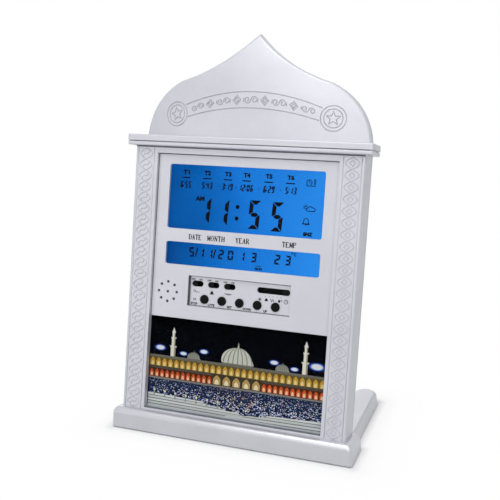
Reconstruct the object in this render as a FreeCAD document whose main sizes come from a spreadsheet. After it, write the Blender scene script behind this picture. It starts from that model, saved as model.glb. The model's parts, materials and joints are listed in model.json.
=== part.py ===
import FreeCAD, Part
import math
import os
import types

import Sketcher

# Mosque-shaped digital prayer clock on a two-footed stand.
# Row frame: X to the right, Y backwards, Z up, origin on the floor under the middle.
# The head leans back. Its pieces are drawn upright in the head frame: x across,
# y backwards from the columns' faces, z up from the columns' feet.

V = FreeCAD.Vector
NO_TURN = FreeCAD.Rotation()
NEAR = 1e-4

# Driving dimensions: name, millimetres or degrees, meaning.
DIMENSIONS = [
    ("lean", 9.6, "angle of the head back from upright"),
    ("foot_height", 16.7, "height of the columns' feet, and of the stand's bar"),
    ("stand_depth", 124.4, "front of the bar to the ends of the legs"),
    ("bar_lip", 6.2, "stand's bar in front of the columns"),
    ("past", 1.0, "cutting shapes run this far past what they cut"),
    ("thin_gap", 0.15, "pieces that only just clear each other"),
    ("fit_gap", 0.2, "pieces in their recesses"),
    # case outline
    ("wall", 2.0, "moulded wall"),
    ("case_half", 90.2, "half width over the columns"),
    ("front_depth", 21.0, "depth of the front shell"),
    ("case_depth", 24.5, "depth of the closed case"),
    ("column_round", 1.8, "rounding of the columns' outer corners"),
    ("back_bevel", 0.8, "bevel round the back"),
    ("spring_line", 210.5, "height where the crown's sides start to curve"),
    ("crown_tip", 293.4, "height of the crown's point"),
    ("side_radius", 51.3, "crown: radius above the spring line"),
    ("shoulder_radius", 14.5, "crown: radius of the shoulder"),
    ("shoulder_inset", 36.0, "crown: centre of the shoulder, in from the case's side"),
    ("sweep_radius", 124.0, "crown: radius of the hollow sweep to the tip"),
    ("crown_front", 4.0, "crown's foremost line behind the columns' faces"),
    ("dome_sag", 13.88, "crown's sides behind its middle"),
    ("dome_bend", 235.0, "height where the crown starts to bow backwards"),
    ("bow_radius", 158.0, "radius of that bow"),
    ("crown_round", 2.6, "rounding of the crown's rim"),
    # cornice
    ("cornice_side", 5.8, "cornice beyond the columns' sides"),
    ("cornice_lip", 4.5, "cornice in front of the columns"),
    ("cornice_low", 205.7, "underside of the cornice"),
    ("bead_height", 3.0, "rounded bead under the fascia"),
    ("bead_inset", 0.2, "bead behind the fascia"),
    ("bead_round", 1.0, "rounded edges of the bead"),
    ("neck_height", 0.5, "groove between bead and fascia"),
    ("neck_inset", 0.9, "depth of that groove"),
    ("fascia_height", 4.8, "height of the fascia"),
    ("cornice_corner", 2.2, "cornice's rounded corners in plan"),
    ("fascia_round", 1.3, "rounding of the fascia's upper edge"),
    # opening between the columns
    ("opening_half", 71.5, "half width between the columns"),
    ("opening_top", 200.5, "top of the opening"),
    ("sill", 1.3, "bottom wall under the picture"),
    ("lip_width", 2.0, "width of the return lip round the opening"),
    ("panel_recess", 3.0, "panel's face behind the columns"),
    ("panel_thick", 2.0, "panel's plate"),
    ("panel_low", 74.3, "bottom edge of the panel"),
    ("panel_lap", 3.0, "panel behind the lip"),
    # display
    ("window_half", 61.5, "half width of both display windows"),
    ("main_low", 143.5, "main window, bottom"),
    ("main_high", 192.7, "main window, top"),
    ("date_low", 115.8, "date window, bottom"),
    ("date_high", 133.3, "date window, top"),
    ("window_corner", 1.8, "corners of the windows"),
    ("lens_thick", 1.2, "clear display lens"),
    ("lens_lap", 3.3, "lens beyond the windows"),
    ("glass_gap", 0.3, "lens to LCD glass"),
    ("glass_thick", 2.2, "LCD glass, two sheets"),
    ("glass_lap", 2.4, "LCD glass beyond its window"),
    ("guide_thick", 3.0, "backlight light guide"),
    ("zebra_wide", 1.8, "zebra strip, across the ledge"),
    ("zebra_gap", 0.3, "zebra strip to the light guide"),
    ("zebra_inset", 4.0, "zebra strip short of the window's ends"),
    ("led_wide", 1.8, "backlight LED"),
    ("led_high", 3.0, "backlight LED"),
    ("led_inset", 0.4, "backlight LED within the light guide's thickness"),
    ("board_front", 12.5, "front face of the main board"),
    ("board_thick", 1.6, "circuit boards"),
    ("board_margin", 1.5, "main board inside the panel's edge"),
    ("board_reach", 3.5, "main board beyond the windows, above and below"),
    ("holder_wall", 3.3, "LCD holder's side rims"),
    ("holder_ledge", 1.2, "LCD holder's top and bottom rims"),
    ("chip_thick", 1.5, "epoxy over a chip"),
    ("sensor_x", 52.0, "temperature sensor"),
    ("sensor_z", 122.0, "temperature sensor"),
    ("sensor_radius", 1.9, "temperature sensor"),
    ("sensor_length", 4.0, "temperature sensor"),
    ("sensor_flat", 0.9, "sensor's flat side, from its axis"),
    # controls
    ("recess_half", 41.0, "half width of the control recess"),
    ("recess_low", 84.8, "control recess, bottom"),
    ("recess_high", 108.2, "control recess, top"),
    ("recess_deep", 2.7, "depth of the control recess"),
    ("recess_wall", 1.6, "wall and floor of the control recess"),
    ("button_radius", 3.3, "push buttons"),
    ("button_row", 90.6, "height of the button row"),
    ("button_first", -28.0, "left button"),
    ("button_pitch", 14.3, "button to button"),
    ("button_proud", 1.4, "button caps above the recess floor"),
    ("button_travel", 0.6, "stroke of a button"),
    ("button_gap", 0.2, "button to its hole"),
    ("button_bevel", 0.4, "bevel of the caps"),
    ("flange_radius", 4.2, "flange behind each button"),
    ("flange_thick", 0.8, "thickness of that flange"),
    ("plunger_radius", 1.7, "tactile switch plunger"),
    ("plunger_gap", 0.08, "plunger to its bore"),
    ("plunger_sink", 1.2, "plunger inside its switch at rest"),
    ("tact_size", 6.0, "tactile switch body"),
    ("tact_front", 9.4, "front face of the tactile switches"),
    ("control_board_front", 12.9, "front face of the control board"),
    ("control_post_x", 37.9, "control board's screws"),
    ("control_boss", 2.2, "control board's bosses"),
    ("slot_row", 102.2, "height of the slots' centres"),
    ("switch_first", -34.1, "left slide switch"),
    ("switch_pitch", 13.1, "slide switch to slide switch"),
    ("switch_slot", 9.2, "length of a short slot"),
    ("slot_radius", 2.25, "half height of the slots"),
    ("knob_gap", 0.3, "knob to the slot's end at its limits"),
    ("switch_knob", 4.6, "length of a short knob"),
    ("knob_radius", 1.8, "half height of the knobs"),
    ("knob_proud", 0.8, "knobs above the recess floor"),
    ("mode_x", 27.0, "centre of the long slot"),
    ("mode_slot", 25.9, "length of the long slot"),
    ("mode_knob", 5.4, "length of the mode knob"),
    ("slide_front", 8.5, "front face of the slide switch bodies"),
    ("slide_body_high", 6.4, "height of the slide switch bodies"),
    ("slide_body_wall", 1.5, "end walls of the slide switch bodies"),
    ("slide_foot_inset", 0.6, "knob's foot, in from the knob's ends"),
    ("slide_foot_high", 2.6, "height of the knob's foot"),
    ("slide_foot_deep", 2.4, "depth of the knob's foot"),
    ("grip_pitch", 0.9, "groove to groove on a knob"),
    ("grip_wide", 0.44, "grooves on a knob"),
    ("grip_high", 2.6, "grooves on a knob"),
    ("grip_deep", 0.4, "grooves on a knob"),
    # speaker
    ("speaker_side", 0.1, "speaker's ring to the control tray"),
    ("speaker_under", 0.7, "speaker's ring to the picture window"),
    ("speaker_radius", 13.8, "speaker's basket"),
    ("speaker_lip", 1.6, "width of the basket's rim"),
    ("speaker_step", 1.2, "height of the basket's rim"),
    ("speaker_neck", 8.2, "basket's radius at the magnet"),
    ("speaker_throat", 4.4, "opening at the magnet"),
    ("speaker_deep", 5.4, "basket's depth"),
    ("speaker_sheet", 0.8, "basket's metal"),
    ("cone_cap", 3.4, "cone's dust cap"),
    ("cone_deep", 3.1, "cone's depth"),
    ("cone_front", 0.4, "cone's edge behind the panel"),
    ("cone_paper", 0.5, "cone's paper"),
    ("magnet_radius", 7.4, "magnet"),
    ("magnet_thick", 4.4, "magnet"),
    ("ring_wall", 1.25, "ring round the speaker"),
    ("ring_deep", 2.0, "ring round the speaker"),
    ("hole_circle", 7.6, "circle of the eight sound holes"),
    ("hole_radius", 0.8, "sound holes"),
    # picture
    ("picture_recess", 5.0, "picture window behind the columns"),
    ("picture_glass", 1.2, "clear picture window"),
    ("picture_card", 0.6, "printed card"),
    ("picture_lap", 2.5, "picture window behind the lip"),
    ("picture_tuck", 4.0, "picture window behind the panel's lower edge"),
    # fastening
    ("screw_radius", 1.3, "screw shanks"),
    ("screw_slack", 0.05, "screw shank to its pilot hole"),
    ("screw_gap", 0.2, "screw shank to its clearance hole"),
    ("pilot_spare", 0.5, "pilot hole beyond the screw's tip"),
    ("head_gap", 0.4, "screw head to its well"),
    ("head_radius", 2.6, "screw heads"),
    ("head_thick", 1.6, "screw heads"),
    ("boss_radius", 3.5, "screw bosses"),
    ("joint_step", 1.0, "front bosses short of the shell's rim"),
    ("well_deep", 3.0, "screw wells in the rear case"),
    ("case_screw_length", 11.0, "case screws"),
    ("post_inset", 9.2, "case screws in the columns, in from the case's side"),
    ("post_low", 14.0, "lower case screws"),
    ("post_high", 190.0, "upper case screws"),
    ("post_crown_x", 42.0, "case screws in the crown"),
    ("post_crown_z", 236.0, "case screws in the crown"),
    ("stand_screw_x", 60.0, "stand screws"),
    ("stand_screw_y", 12.0, "stand screws, back from the columns' faces"),
    ("stand_screw_length", 14.0, "stand screws"),
    ("stand_boss", 7.0, "stand's bosses under the seat"),
    ("small_screw", 1.0, "board screw shanks"),
    ("small_head", 1.9, "board screw heads"),
    ("small_head_thick", 1.2, "board screw heads"),
    ("small_reach", 4.0, "board screws inside their bosses"),
    ("small_boss", 2.5, "main board's bosses"),
    # battery bay
    ("cell_radius", 7.1, "AA cell"),
    ("cell_length", 50.5, "AA cell with its nub"),
    ("cell_pitch", 15.0, "cell to cell"),
    ("cell_low", 22.2, "centre of the lowest cell"),
    ("bay_spare", 3.05, "each end of the battery bay beyond the cell"),
    ("bay_low", 14.5, "bay's floor"),
    ("bay_high", 61.5, "bay's top"),
    ("bay_wall", 1.4, "bay's walls"),
    ("bay_front", 7.0, "bay's front wall, back from the columns' faces"),
    ("bay_skin", 1.0, "thickness of that wall"),
    ("door_side", 5.7, "battery door beyond the bay's ends"),
    ("door_low", 12.3, "battery door's lower edge, its hinge line"),
    ("door_high", 63.7, "battery door's top edge"),
    ("door_thick", 1.8, "battery door"),
    ("door_gap", 0.3, "battery door to its frame"),
    ("door_corner", 1.0, "door's upper corners"),
    ("tongue_x", 17.0, "door's two tongues"),
    ("tongue_half", 3.0, "half width of a tongue"),
    ("tongue_drop", 1.3, "tongue below the door's lower edge"),
    ("tongue_thick", 1.4, "tongue"),
    ("tongue_gap", 0.25, "tongue to the case wall that it hooks behind"),
    ("tongue_room", 1.1, "space in front of a tongue, to swing into"),
    ("web_low", 0.3, "tongue's web above the door's lower edge"),
    ("web_high", 2.2, "top of that web"),
    ("catch_half", 6.0, "half width of the door's catch"),
    ("catch_thick", 1.4, "door's catch"),
    ("catch_reach", 3.0, "catch in front of the door"),
    ("catch_gap", 0.4, "catch to the bay's top"),
    ("door_grip_half", 9.0, "half length of the door's finger grooves"),
    ("door_grip_pitch", 2.4, "groove to groove"),
    ("door_grip_radius", 0.6, "half height of a groove"),
    ("door_grip_deep", 0.5, "depth of a groove"),
    ("door_grip_top", 5.0, "first groove below the door's top"),
    ("nub_radius", 2.7, "AA cell's nub"),
    ("nub_length", 1.3, "AA cell's nub"),
    ("cell_bevel", 0.6, "AA cell's shoulder"),
    ("contact_thick", 0.4, "battery contact plates and leaves"),
    ("contact_wide", 9.0, "battery contact plates"),
    ("contact_high", 11.0, "battery contact plates"),
    ("leaf_wide", 6.0, "spring leaves"),
    ("leaf_root", 5.0, "where a leaf springs from its plate, off the cell's axis"),
    ("leaf_flat", 1.0, "half height of a leaf's flat"),
    ("leaf_open", 0.8, "free end of a leaf, off its plate"),
    # back
    ("key_z", 246.0, "keyhole's round end"),
    ("key_radius", 4.5, "keyhole's round end"),
    ("key_slot", 2.1, "half width of the keyhole's slot"),
    ("key_length", 9.0, "round end to the slot's top"),
    ("inlet_x", 62.0, "DC inlet"),
    ("inlet_z", 34.0, "DC inlet"),
    ("inlet_bore", 2.75, "DC inlet's bore"),
    ("inlet_nose", 4.0, "DC inlet's round nose"),
    ("inlet_size", 10.0, "DC inlet's body"),
    ("inlet_deep", 11.0, "DC inlet's body"),
    ("inlet_bore_deep", 9.5, "DC inlet's bore"),
    ("inlet_pin", 1.0, "DC inlet's pin"),
    ("inlet_pin_length", 8.5, "DC inlet's pin"),
    ("vent_pitch", 3.6, "vent slot to vent slot"),
    ("vent_half", 9.0, "half length of a vent slot"),
    ("vent_radius", 0.8, "half height of a vent slot"),
    # stand
    ("bar_side", 6.8, "stand's bar beyond the case's sides"),
    ("bar_draft", 1.3, "bar's ends lean in by this much at the top"),
    ("bar_round", 4.8, "rounded upper edges of the bar"),
    ("bar_corner", 2.6, "bar's rounded front corners"),
    ("leg_inset", 4.0, "outer side of a leg, in from the bar's end"),
    ("leg_draft", 10.0, "angle of the legs' sides from upright"),
    ("leg_round", 2.6, "rounded upper edges of the legs"),
    ("leg_width", 21.0, "width of a leg"),
    ("leg_height", 11.0, "height of a leg"),
    ("rim_height", 1.0, "stand's rim above the floor"),
    ("stand_wall", 2.2, "stand's wall"),
    ("rib", 1.6, "stand's ribs"),
    ("pad_radius", 5.0, "rubber feet"),
    ("pad_thick", 2.0, "rubber feet"),
    ("pad_slack", 0.05, "rubber foot to its recess"),
    ("pad_land", 1.5, "land round each rubber foot"),
    ("pad_inset", 12.0, "front feet, in from the bar's ends"),
    ("pad_back", 6.0, "front feet behind the columns' feet"),
]

BUTTONS = ["stop", "light", "set", "down", "up"]
SWITCHES = ["sound", "alarm", "snooze"]
CELLS = 3
SOUND_HOLES = 8
VENTS = 5
KNOB_GRIPS = 3
DOOR_GRIPS = 4
BAR_CELLS = 7
LEG_CELLS = 3
CHIPS = [(-22, 158, 7.5), (26, 150, 6.0)]  # x, height, radius
GROOVE_SWING = 60  # degrees, wide enough to pass both sides of the case
MOST_FILES = 60


class Size:
    """A number together with the sheet expression that it comes from."""

    def __init__(self, number, text):
        self.number = number
        self.text = text

    def __add__(self, other):
        other = as_size(other)
        return Size(self.number + other.number, f"({self.text} + {other.text})")

    def __sub__(self, other):
        other = as_size(other)
        return Size(self.number - other.number, f"({self.text} - {other.text})")

    def __mul__(self, other):
        other = as_size(other)
        return Size(self.number * other.number, f"({self.text} * {other.text})")

    def __truediv__(self, other):
        other = as_size(other)
        return Size(self.number / other.number, f"({self.text} / {other.text})")

    def __neg__(self):
        return Size(-self.number, f"(0 - {self.text})")

    def __radd__(self, other):
        return as_size(other) + self

    def __rsub__(self, other):
        return as_size(other) - self

    def __rmul__(self, other):
        return as_size(other) * self


def as_size(value):
    """Turn a plain number into a Size."""
    if isinstance(value, Size):
        return value
    return Size(float(value), f"({float(value)!r})")


def root(size):
    """Square root of a Size."""
    return Size(math.sqrt(size.number), f"sqrt({size.text})")


def tangent(angle):
    """Tangent of an angle in degrees."""
    return Size(math.tan(math.radians(angle.number)), f"tan({angle.text} * 1 deg)")


def chord_sag(radius, across):
    """How far an arc of this radius falls back at this distance from its crown."""
    return radius - root(radius * radius - across * across)


doc = FreeCAD.newDocument("prayer_clock")
sheet = doc.addObject("Spreadsheet::Sheet", "Sizes")
S = types.SimpleNamespace()
for row, (alias, value, meaning) in enumerate(DIMENSIONS, start=1):
    sheet.set(f"A{row}", meaning)
    sheet.set(f"B{row}", str(value))
    sheet.setAlias(f"B{row}", alias)
    setattr(S, alias, Size(value, f"Sizes.{alias}"))
doc.recompute()

SUB_PARTS = []

# Sizes that several pieces share, worked out from the sheet.
foot_line = S.bar_lip - S.stand_depth / 2
panel_back = S.panel_recess + S.panel_thick
panel_half = S.opening_half + S.panel_lap
lens_back = panel_back + S.lens_thick
glass_front = lens_back + S.glass_gap
glass_back = glass_front + S.glass_thick
floor_front = S.panel_recess + S.recess_deep
floor_back = floor_front + S.recess_wall
flange_front = floor_back + S.thin_gap
flange_back = flange_front + S.flange_thick
back_inner = S.case_depth - S.wall
boss_joint = S.front_depth - S.joint_step
screw_seat = S.case_depth - S.well_deep
pilot_front = screw_seat - S.case_screw_length - S.pilot_spare
stand_screw_reach = S.stand_screw_length - S.stand_boss
shoulder_x = S.case_half - S.shoulder_inset
dome_radius = (S.case_half * S.case_half + S.dome_sag * S.dome_sag) / (2 * S.dome_sag)
cornice_half = S.case_half + S.cornice_side
fascia_low = S.cornice_low + S.bead_height + S.neck_height
cornice_top = fascia_low + S.fascia_height
card_front = S.picture_recess + S.picture_glass
window_top = S.panel_low + S.picture_tuck
speaker_reach = S.speaker_radius + S.thin_gap + S.ring_wall
speaker_x = -(S.recess_half + S.recess_wall + S.speaker_side + speaker_reach)
speaker_z = window_top + S.speaker_under + speaker_reach
pilot_radius = S.screw_radius + S.screw_slack
small_pilot = S.small_screw + S.screw_slack
door_inner = S.case_depth - S.door_thick
bay_floor = S.bay_front + S.bay_skin
bay_half = S.cell_length / 2 + S.bay_spare
door_half = bay_half + S.door_side
bar_half = S.case_half + S.bar_side
leg_outer = bar_half - S.leg_inset
CASE_POSTS = [
    (side * x, z)
    for x, z in [
        (S.case_half - S.post_inset, S.post_low),
        (S.case_half - S.post_inset, S.post_high),
        (S.post_crown_x, S.post_crown_z),
    ]
    for side in (-1, 1)
]
MAIN_POSTS = [
    (side * (panel_half - S.board_margin - S.small_boss), z)
    for z in (S.date_low + S.small_boss, S.main_high)
    for side in (-1, 1)
]
CONTROL_POSTS = [(side * S.control_post_x, S.button_row) for side in (-1, 1)]
BUTTON_XS = [S.button_first + index * S.button_pitch for index in range(len(BUTTONS))]
SWITCH_XS = [S.switch_first + index * S.switch_pitch for index in range(len(SWITCHES))]
STAND_SCREWS = [(side * S.stand_screw_x, S.stand_screw_y) for side in (-1, 1)]


# ---------------------------------------------------------------- document helpers

def bind(thing, path, size):
    """Drive one property from the sheet."""
    thing.setExpression(path, as_size(size).text)


def place_on_head(thing):
    """Lean a piece drawn in the head frame back onto the stand."""
    turn = FreeCAD.Rotation(V(-1, 0, 0), S.lean.number)
    thing.Placement = FreeCAD.Placement(V(0, foot_line.number, S.foot_height.number), turn)
    bind(thing, "Placement.Base.y", foot_line)
    bind(thing, "Placement.Base.z", S.foot_height)
    bind(thing, "Placement.Rotation.Angle", S.lean)


def finish(thing, label, on_head=True):
    """Name a finished sub-part, put it in place and list it for export."""
    thing.Label = label
    if on_head:
        place_on_head(thing)
    SUB_PARTS.append(thing)
    return thing


def new_body(name):
    return doc.addObject("PartDesign::Body", name)


def fused(name, pieces):
    fuse = doc.addObject("Part::MultiFuse", name)
    fuse.Shapes = pieces
    fuse.Refine = True
    return fuse


def cut(name, base, tool):
    result = doc.addObject("Part::Cut", name)
    result.Base = base
    result.Tool = tool
    result.Refine = True
    return result


def sketch_on(body, role, shift, across=0):
    """A sketch on an origin plane, moved along the plane's normal and its own X."""
    sketch = body.newObject("Sketcher::SketchObject", f"{body.Name}_sketch")
    plane = next(item for item in body.Origin.OriginFeatures if item.Role == role)
    sketch.AttachmentSupport = [(plane, "")]
    sketch.MapMode = "FlatFace"
    base = V(as_size(across).number, 0, as_size(shift).number)
    sketch.AttachmentOffset = FreeCAD.Placement(base, NO_TURN)
    bind(sketch, "AttachmentOffset.Base.x", across)
    bind(sketch, "AttachmentOffset.Base.z", shift)
    return sketch


def front_sketch(body, depth):
    """Sketch in x and z, at this depth behind the columns' faces."""
    return sketch_on(body, "XZ_Plane", -as_size(depth))


def plan_sketch(body, height):
    """Sketch in x and y, at this height."""
    return sketch_on(body, "XY_Plane", height)


def side_sketch(body, x, axis_at=0):
    """Sketch in y and z, at this x. Its upright axis stands at y = axis_at."""
    return sketch_on(body, "YZ_Plane", x, axis_at)


def pin(sketch, geometry, position, across, up):
    """Hold one point of a sketch at a place that the sheet drives."""
    for kind, size in (("DistanceX", as_size(across)), ("DistanceY", as_size(up))):
        index = sketch.addConstraint(
            Sketcher.Constraint(kind, -1, 1, geometry, position, size.number)
        )
        bind(sketch, f"Constraints[{index}]", size)


def hold_radius(sketch, geometry, radius):
    index = sketch.addConstraint(Sketcher.Constraint("Radius", geometry, radius.number))
    bind(sketch, f"Constraints[{index}]", radius)


def outline(sketch, corners):
    """A closed outline of straight lines through these corners."""
    corners = [(as_size(across), as_size(up)) for across, up in corners]
    points = [V(across.number, up.number, 0) for across, up in corners]
    count = len(points)
    lines = [
        sketch.addGeometry(Part.LineSegment(points[index], points[(index + 1) % count]))
        for index in range(count)
    ]
    for index, line in enumerate(lines):
        following = lines[(index + 1) % count]
        sketch.addConstraint(Sketcher.Constraint("Coincident", line, 2, following, 1))
        pin(sketch, line, 1, *corners[index])


def rectangle(sketch, left, right, low, high):
    outline(sketch, [(left, low), (right, low), (right, high), (left, high)])


def circle(sketch, across, up, radius):
    across, up, radius = as_size(across), as_size(up), as_size(radius)
    ring = Part.Circle(V(across.number, up.number, 0), V(0, 0, 1), radius.number)
    index = sketch.addGeometry(ring)
    pin(sketch, index, 3, across, up)
    hold_radius(sketch, index, radius)


def arc(sketch, across, up, radius, start, end):
    """An arc about a centre, from one angle to the other, anticlockwise, in degrees."""
    across, up = as_size(across), as_size(up)
    ring = Part.Circle(V(across.number, up.number, 0), V(0, 0, 1), radius.number)
    index = sketch.addGeometry(Part.ArcOfCircle(ring, math.radians(start), math.radians(end)))
    hold_radius(sketch, index, radius)
    return index


def line(sketch, start, end):
    ends = [V(as_size(across).number, as_size(up).number, 0) for across, up in (start, end)]
    return sketch.addGeometry(Part.LineSegment(*ends))


def smooth(sketch, first, first_end, second, second_end):
    """Join two ends tangentially."""
    sketch.addConstraint(
        Sketcher.Constraint("Tangent", first, first_end, second, second_end)
    )


def meet(sketch, first, first_end, second, second_end):
    """Join two ends at a corner."""
    sketch.addConstraint(
        Sketcher.Constraint("Coincident", first, first_end, second, second_end)
    )


def rounded_rectangle(sketch, left, right, low, high, corner):
    """A rectangle with four equal round corners."""
    left, right, low, high = [as_size(size) for size in (left, right, low, high)]
    centres = [
        (right - corner, high - corner),
        (left + corner, high - corner),
        (left + corner, low + corner),
        (right - corner, low + corner),
    ]
    arcs = []
    for quarter, (across, up) in enumerate(centres):
        index = arc(sketch, across, up, corner, 90 * quarter, 90 * quarter + 90)
        pin(sketch, index, 3, across, up)
        arcs.append(index)
    sides = [
        line(sketch, (right - corner, high), (left + corner, high)),
        line(sketch, (left, high - corner), (left, low + corner)),
        line(sketch, (left + corner, low), (right - corner, low)),
        line(sketch, (right, low + corner), (right, high - corner)),
    ]
    for quarter, side in enumerate(sides):
        smooth(sketch, arcs[quarter], 2, side, 1)
        smooth(sketch, side, 2, arcs[(quarter + 1) % len(arcs)], 1)


def stadium(sketch, left, right, up, radius):
    """A level slot with round ends."""
    left, right, up = as_size(left), as_size(right), as_size(up)
    right_end = arc(sketch, right - radius, up, radius, -90, 90)
    left_end = arc(sketch, left + radius, up, radius, 90, 270)
    pin(sketch, right_end, 3, right - radius, up)
    pin(sketch, left_end, 3, left + radius, up)
    top = line(sketch, (right - radius, up + radius), (left + radius, up + radius))
    bottom = line(sketch, (left + radius, up - radius), (right - radius, up - radius))
    smooth(sketch, right_end, 2, top, 1)
    smooth(sketch, top, 2, left_end, 1)
    smooth(sketch, left_end, 2, bottom, 1)
    smooth(sketch, bottom, 2, right_end, 1)


def pad(body, sketch, length, reverse=False, both_ways=False):
    """Add material along the sketch's normal, against it, or half to each side."""
    feature = body.newObject("PartDesign::Pad", f"{body.Name}_pad")
    feature.Profile = sketch
    feature.Reversed = reverse
    feature.Midplane = both_ways
    bind(feature, "Length", length)
    doc.recompute()
    return feature


def pad_back(body, sketch, length):
    return pad(body, sketch, length, reverse=True)


def pocket(body, sketch, length, reverse=False, both_ways=False):
    """Cut against the sketch's normal, or along it, and insist that it cuts."""
    before = body.Shape.Volume
    feature = body.newObject("PartDesign::Pocket", f"{body.Name}_pocket")
    feature.Profile = sketch
    feature.Reversed = reverse
    feature.Midplane = both_ways
    bind(feature, "Length", length)
    doc.recompute()
    if body.Shape.Volume > before - NEAR:
        raise RuntimeError(f"{feature.Name} cuts nothing")
    return feature


def revolve(body, sketch, kind="PartDesign::Revolution", degrees=360):
    """Turn a side sketch's profile about its upright axis."""
    feature = body.newObject(kind, f"{body.Name}_turned")
    feature.Profile = sketch
    feature.ReferenceAxis = (sketch, ["V_Axis"])
    feature.Angle = degrees
    feature.Midplane = True
    doc.recompute()
    return feature


def ease_edges(body, kind, name, size, chosen):
    """Fillet or chamfer the tip feature's edges that the test picks."""
    base = body.Tip
    names = [
        f"Edge{index}" for index, edge in enumerate(base.Shape.Edges, start=1) if chosen(edge)
    ]
    if not names:
        raise RuntimeError(f"{body.Name}: no edge to ease")
    feature = body.newObject(kind, f"{body.Name}_eased")
    feature.Base = (base, names)
    bind(feature, name, size)
    doc.recompute()


def round_edges(body, radius, chosen):
    ease_edges(body, "PartDesign::Fillet", "Radius", radius, chosen)


def bevel_edges(body, size, chosen):
    ease_edges(body, "PartDesign::Chamfer", "Size", size, chosen)


def lies_at(edge, **place):
    """True where the whole edge has this x, y or z."""
    box = edge.BoundBox
    spans = {"x": (box.XMin, box.XMax), "y": (box.YMin, box.YMax), "z": (box.ZMin, box.ZMax)}
    return all(
        abs(low - as_size(place[axis]).number) < NEAR
        and abs(high - as_size(place[axis]).number) < NEAR
        for axis, (low, high) in spans.items()
        if axis in place
    )


def runs_along(edge, axis):
    """True for a straight edge along x, y or z."""
    box = edge.BoundBox
    lengths = {"x": box.XLength, "y": box.YLength, "z": box.ZLength}
    others = [length for name, length in lengths.items() if name != axis]
    return lengths[axis] > NEAR and max(others) < NEAR


def plate(body, left, right, low, high, front, thick):
    """A rectangular plate, facing forwards."""
    sketch = front_sketch(body, front)
    rectangle(sketch, left, right, low, high)
    return pad_back(body, sketch, thick)


def window(body, left, right, low, high, front, deep):
    """A rectangular cut through, or into, a plate from its front."""
    sketch = front_sketch(body, front)
    rectangle(sketch, left, right, low, high)
    return pocket(body, sketch, deep)


def studs(body, places, radius, front, length):
    """Round studs that run backwards from this depth."""
    sketch = front_sketch(body, front)
    for x, z in places:
        circle(sketch, x, z, radius)
    return pad_back(body, sketch, length)


def drill(body, places, radius, front, deep):
    """Round holes that run backwards from this depth."""
    sketch = front_sketch(body, front)
    for x, z in places:
        circle(sketch, x, z, radius)
    return pocket(body, sketch, deep)


# ---------------------------------------------------------------- case

def half_silhouette(sketch, inset, low):
    """Right half of the clock's outline: straight side, then the onion-shaped crown."""
    low = as_size(low)
    side_radius = S.side_radius - inset
    shoulder_radius = S.shoulder_radius - inset
    sweep_radius = S.sweep_radius + inset
    side = S.case_half - inset
    side_x = (S.case_half - S.side_radius).number
    reach = (S.side_radius - S.shoulder_radius).number
    shoulder_z = S.spring_line.number + math.sqrt(reach**2 - (shoulder_x.number - side_x)**2)
    # centre of the hollow sweep: outside the shoulder, a radius away from the tip
    to_tip = V(-shoulder_x.number, S.crown_tip.number - shoulder_z, 0)
    span = to_tip.Length
    far = (S.shoulder_radius + S.sweep_radius).number
    along = (far**2 - S.sweep_radius.number**2 + span**2) / (2 * span)
    aside = math.sqrt(far**2 - along**2)
    ahead = to_tip / span
    sweep_x = shoulder_x.number + along * ahead.x + aside * ahead.y
    sweep_z = shoulder_z + along * ahead.y - aside * ahead.x
    first_turn = math.degrees(math.atan2(shoulder_z - S.spring_line.number,
                                         shoulder_x.number - side_x))
    second_turn = math.degrees(math.atan2(sweep_z - shoulder_z, sweep_x - shoulder_x.number))
    last_x = -sweep_x / sweep_radius.number
    last_turn = 360 - math.degrees(math.acos(last_x))
    tip_z = sweep_z - math.sqrt(sweep_radius.number**2 - sweep_x**2)

    bottom = line(sketch, (0, low), (side, low))
    upright = line(sketch, (side, low), (side, S.spring_line))
    side_arc = arc(sketch, side_x, S.spring_line, side_radius, 0, first_turn)
    shoulder = arc(sketch, shoulder_x, shoulder_z, shoulder_radius, first_turn, second_turn)
    sweep = arc(sketch, sweep_x, sweep_z, sweep_radius, last_turn - 360, second_turn - 180)
    middle = line(sketch, (0, tip_z), (0, low))
    meet(sketch, bottom, 2, upright, 1)
    smooth(sketch, upright, 2, side_arc, 1)
    smooth(sketch, side_arc, 2, shoulder, 1)
    smooth(sketch, shoulder, 2, sweep, 2)
    meet(sketch, sweep, 1, middle, 1)
    meet(sketch, middle, 2, bottom, 1)
    pin(sketch, bottom, 1, 0, low)
    pin(sketch, upright, 1, side, low)
    sketch.addConstraint(Sketcher.Constraint("Vertical", upright))
    sketch.addConstraint(Sketcher.Constraint("Vertical", middle))
    index = sketch.addConstraint(
        Sketcher.Constraint("DistanceY", -1, 1, side_arc, 3, S.spring_line.number)
    )
    bind(sketch, f"Constraints[{index}]", S.spring_line)
    index = sketch.addConstraint(
        Sketcher.Constraint("DistanceX", -1, 1, shoulder, 3, shoulder_x.number)
    )
    bind(sketch, f"Constraints[{index}]", shoulder_x)
    # a construction line from the outer tip holds the sweep's centre for every inset
    strut = line(sketch, (0, S.crown_tip), (sweep_x, sweep_z))
    sketch.toggleConstruction(strut)
    pin(sketch, strut, 1, 0, S.crown_tip)
    sketch.addConstraint(Sketcher.Constraint("Coincident", strut, 2, sweep, 3))
    index = sketch.addConstraint(Sketcher.Constraint("Distance", strut, S.sweep_radius.number))
    bind(sketch, f"Constraints[{index}]", S.sweep_radius)


def silhouette(name, inset, low, front, back):
    """The whole outline as a block between two depths."""
    body = new_body(name)
    sketch = front_sketch(body, front)
    half_silhouette(sketch, as_size(inset), low)
    half = pad_back(body, sketch, back - front)
    mirror = body.newObject("PartDesign::Mirrored", f"{name}_mirror")
    mirror.Originals = [half]
    mirror.MirrorPlane = (sketch, ["V_Axis"])
    mirror.Refine = True
    body.Tip = mirror
    doc.recompute()
    return body


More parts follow.
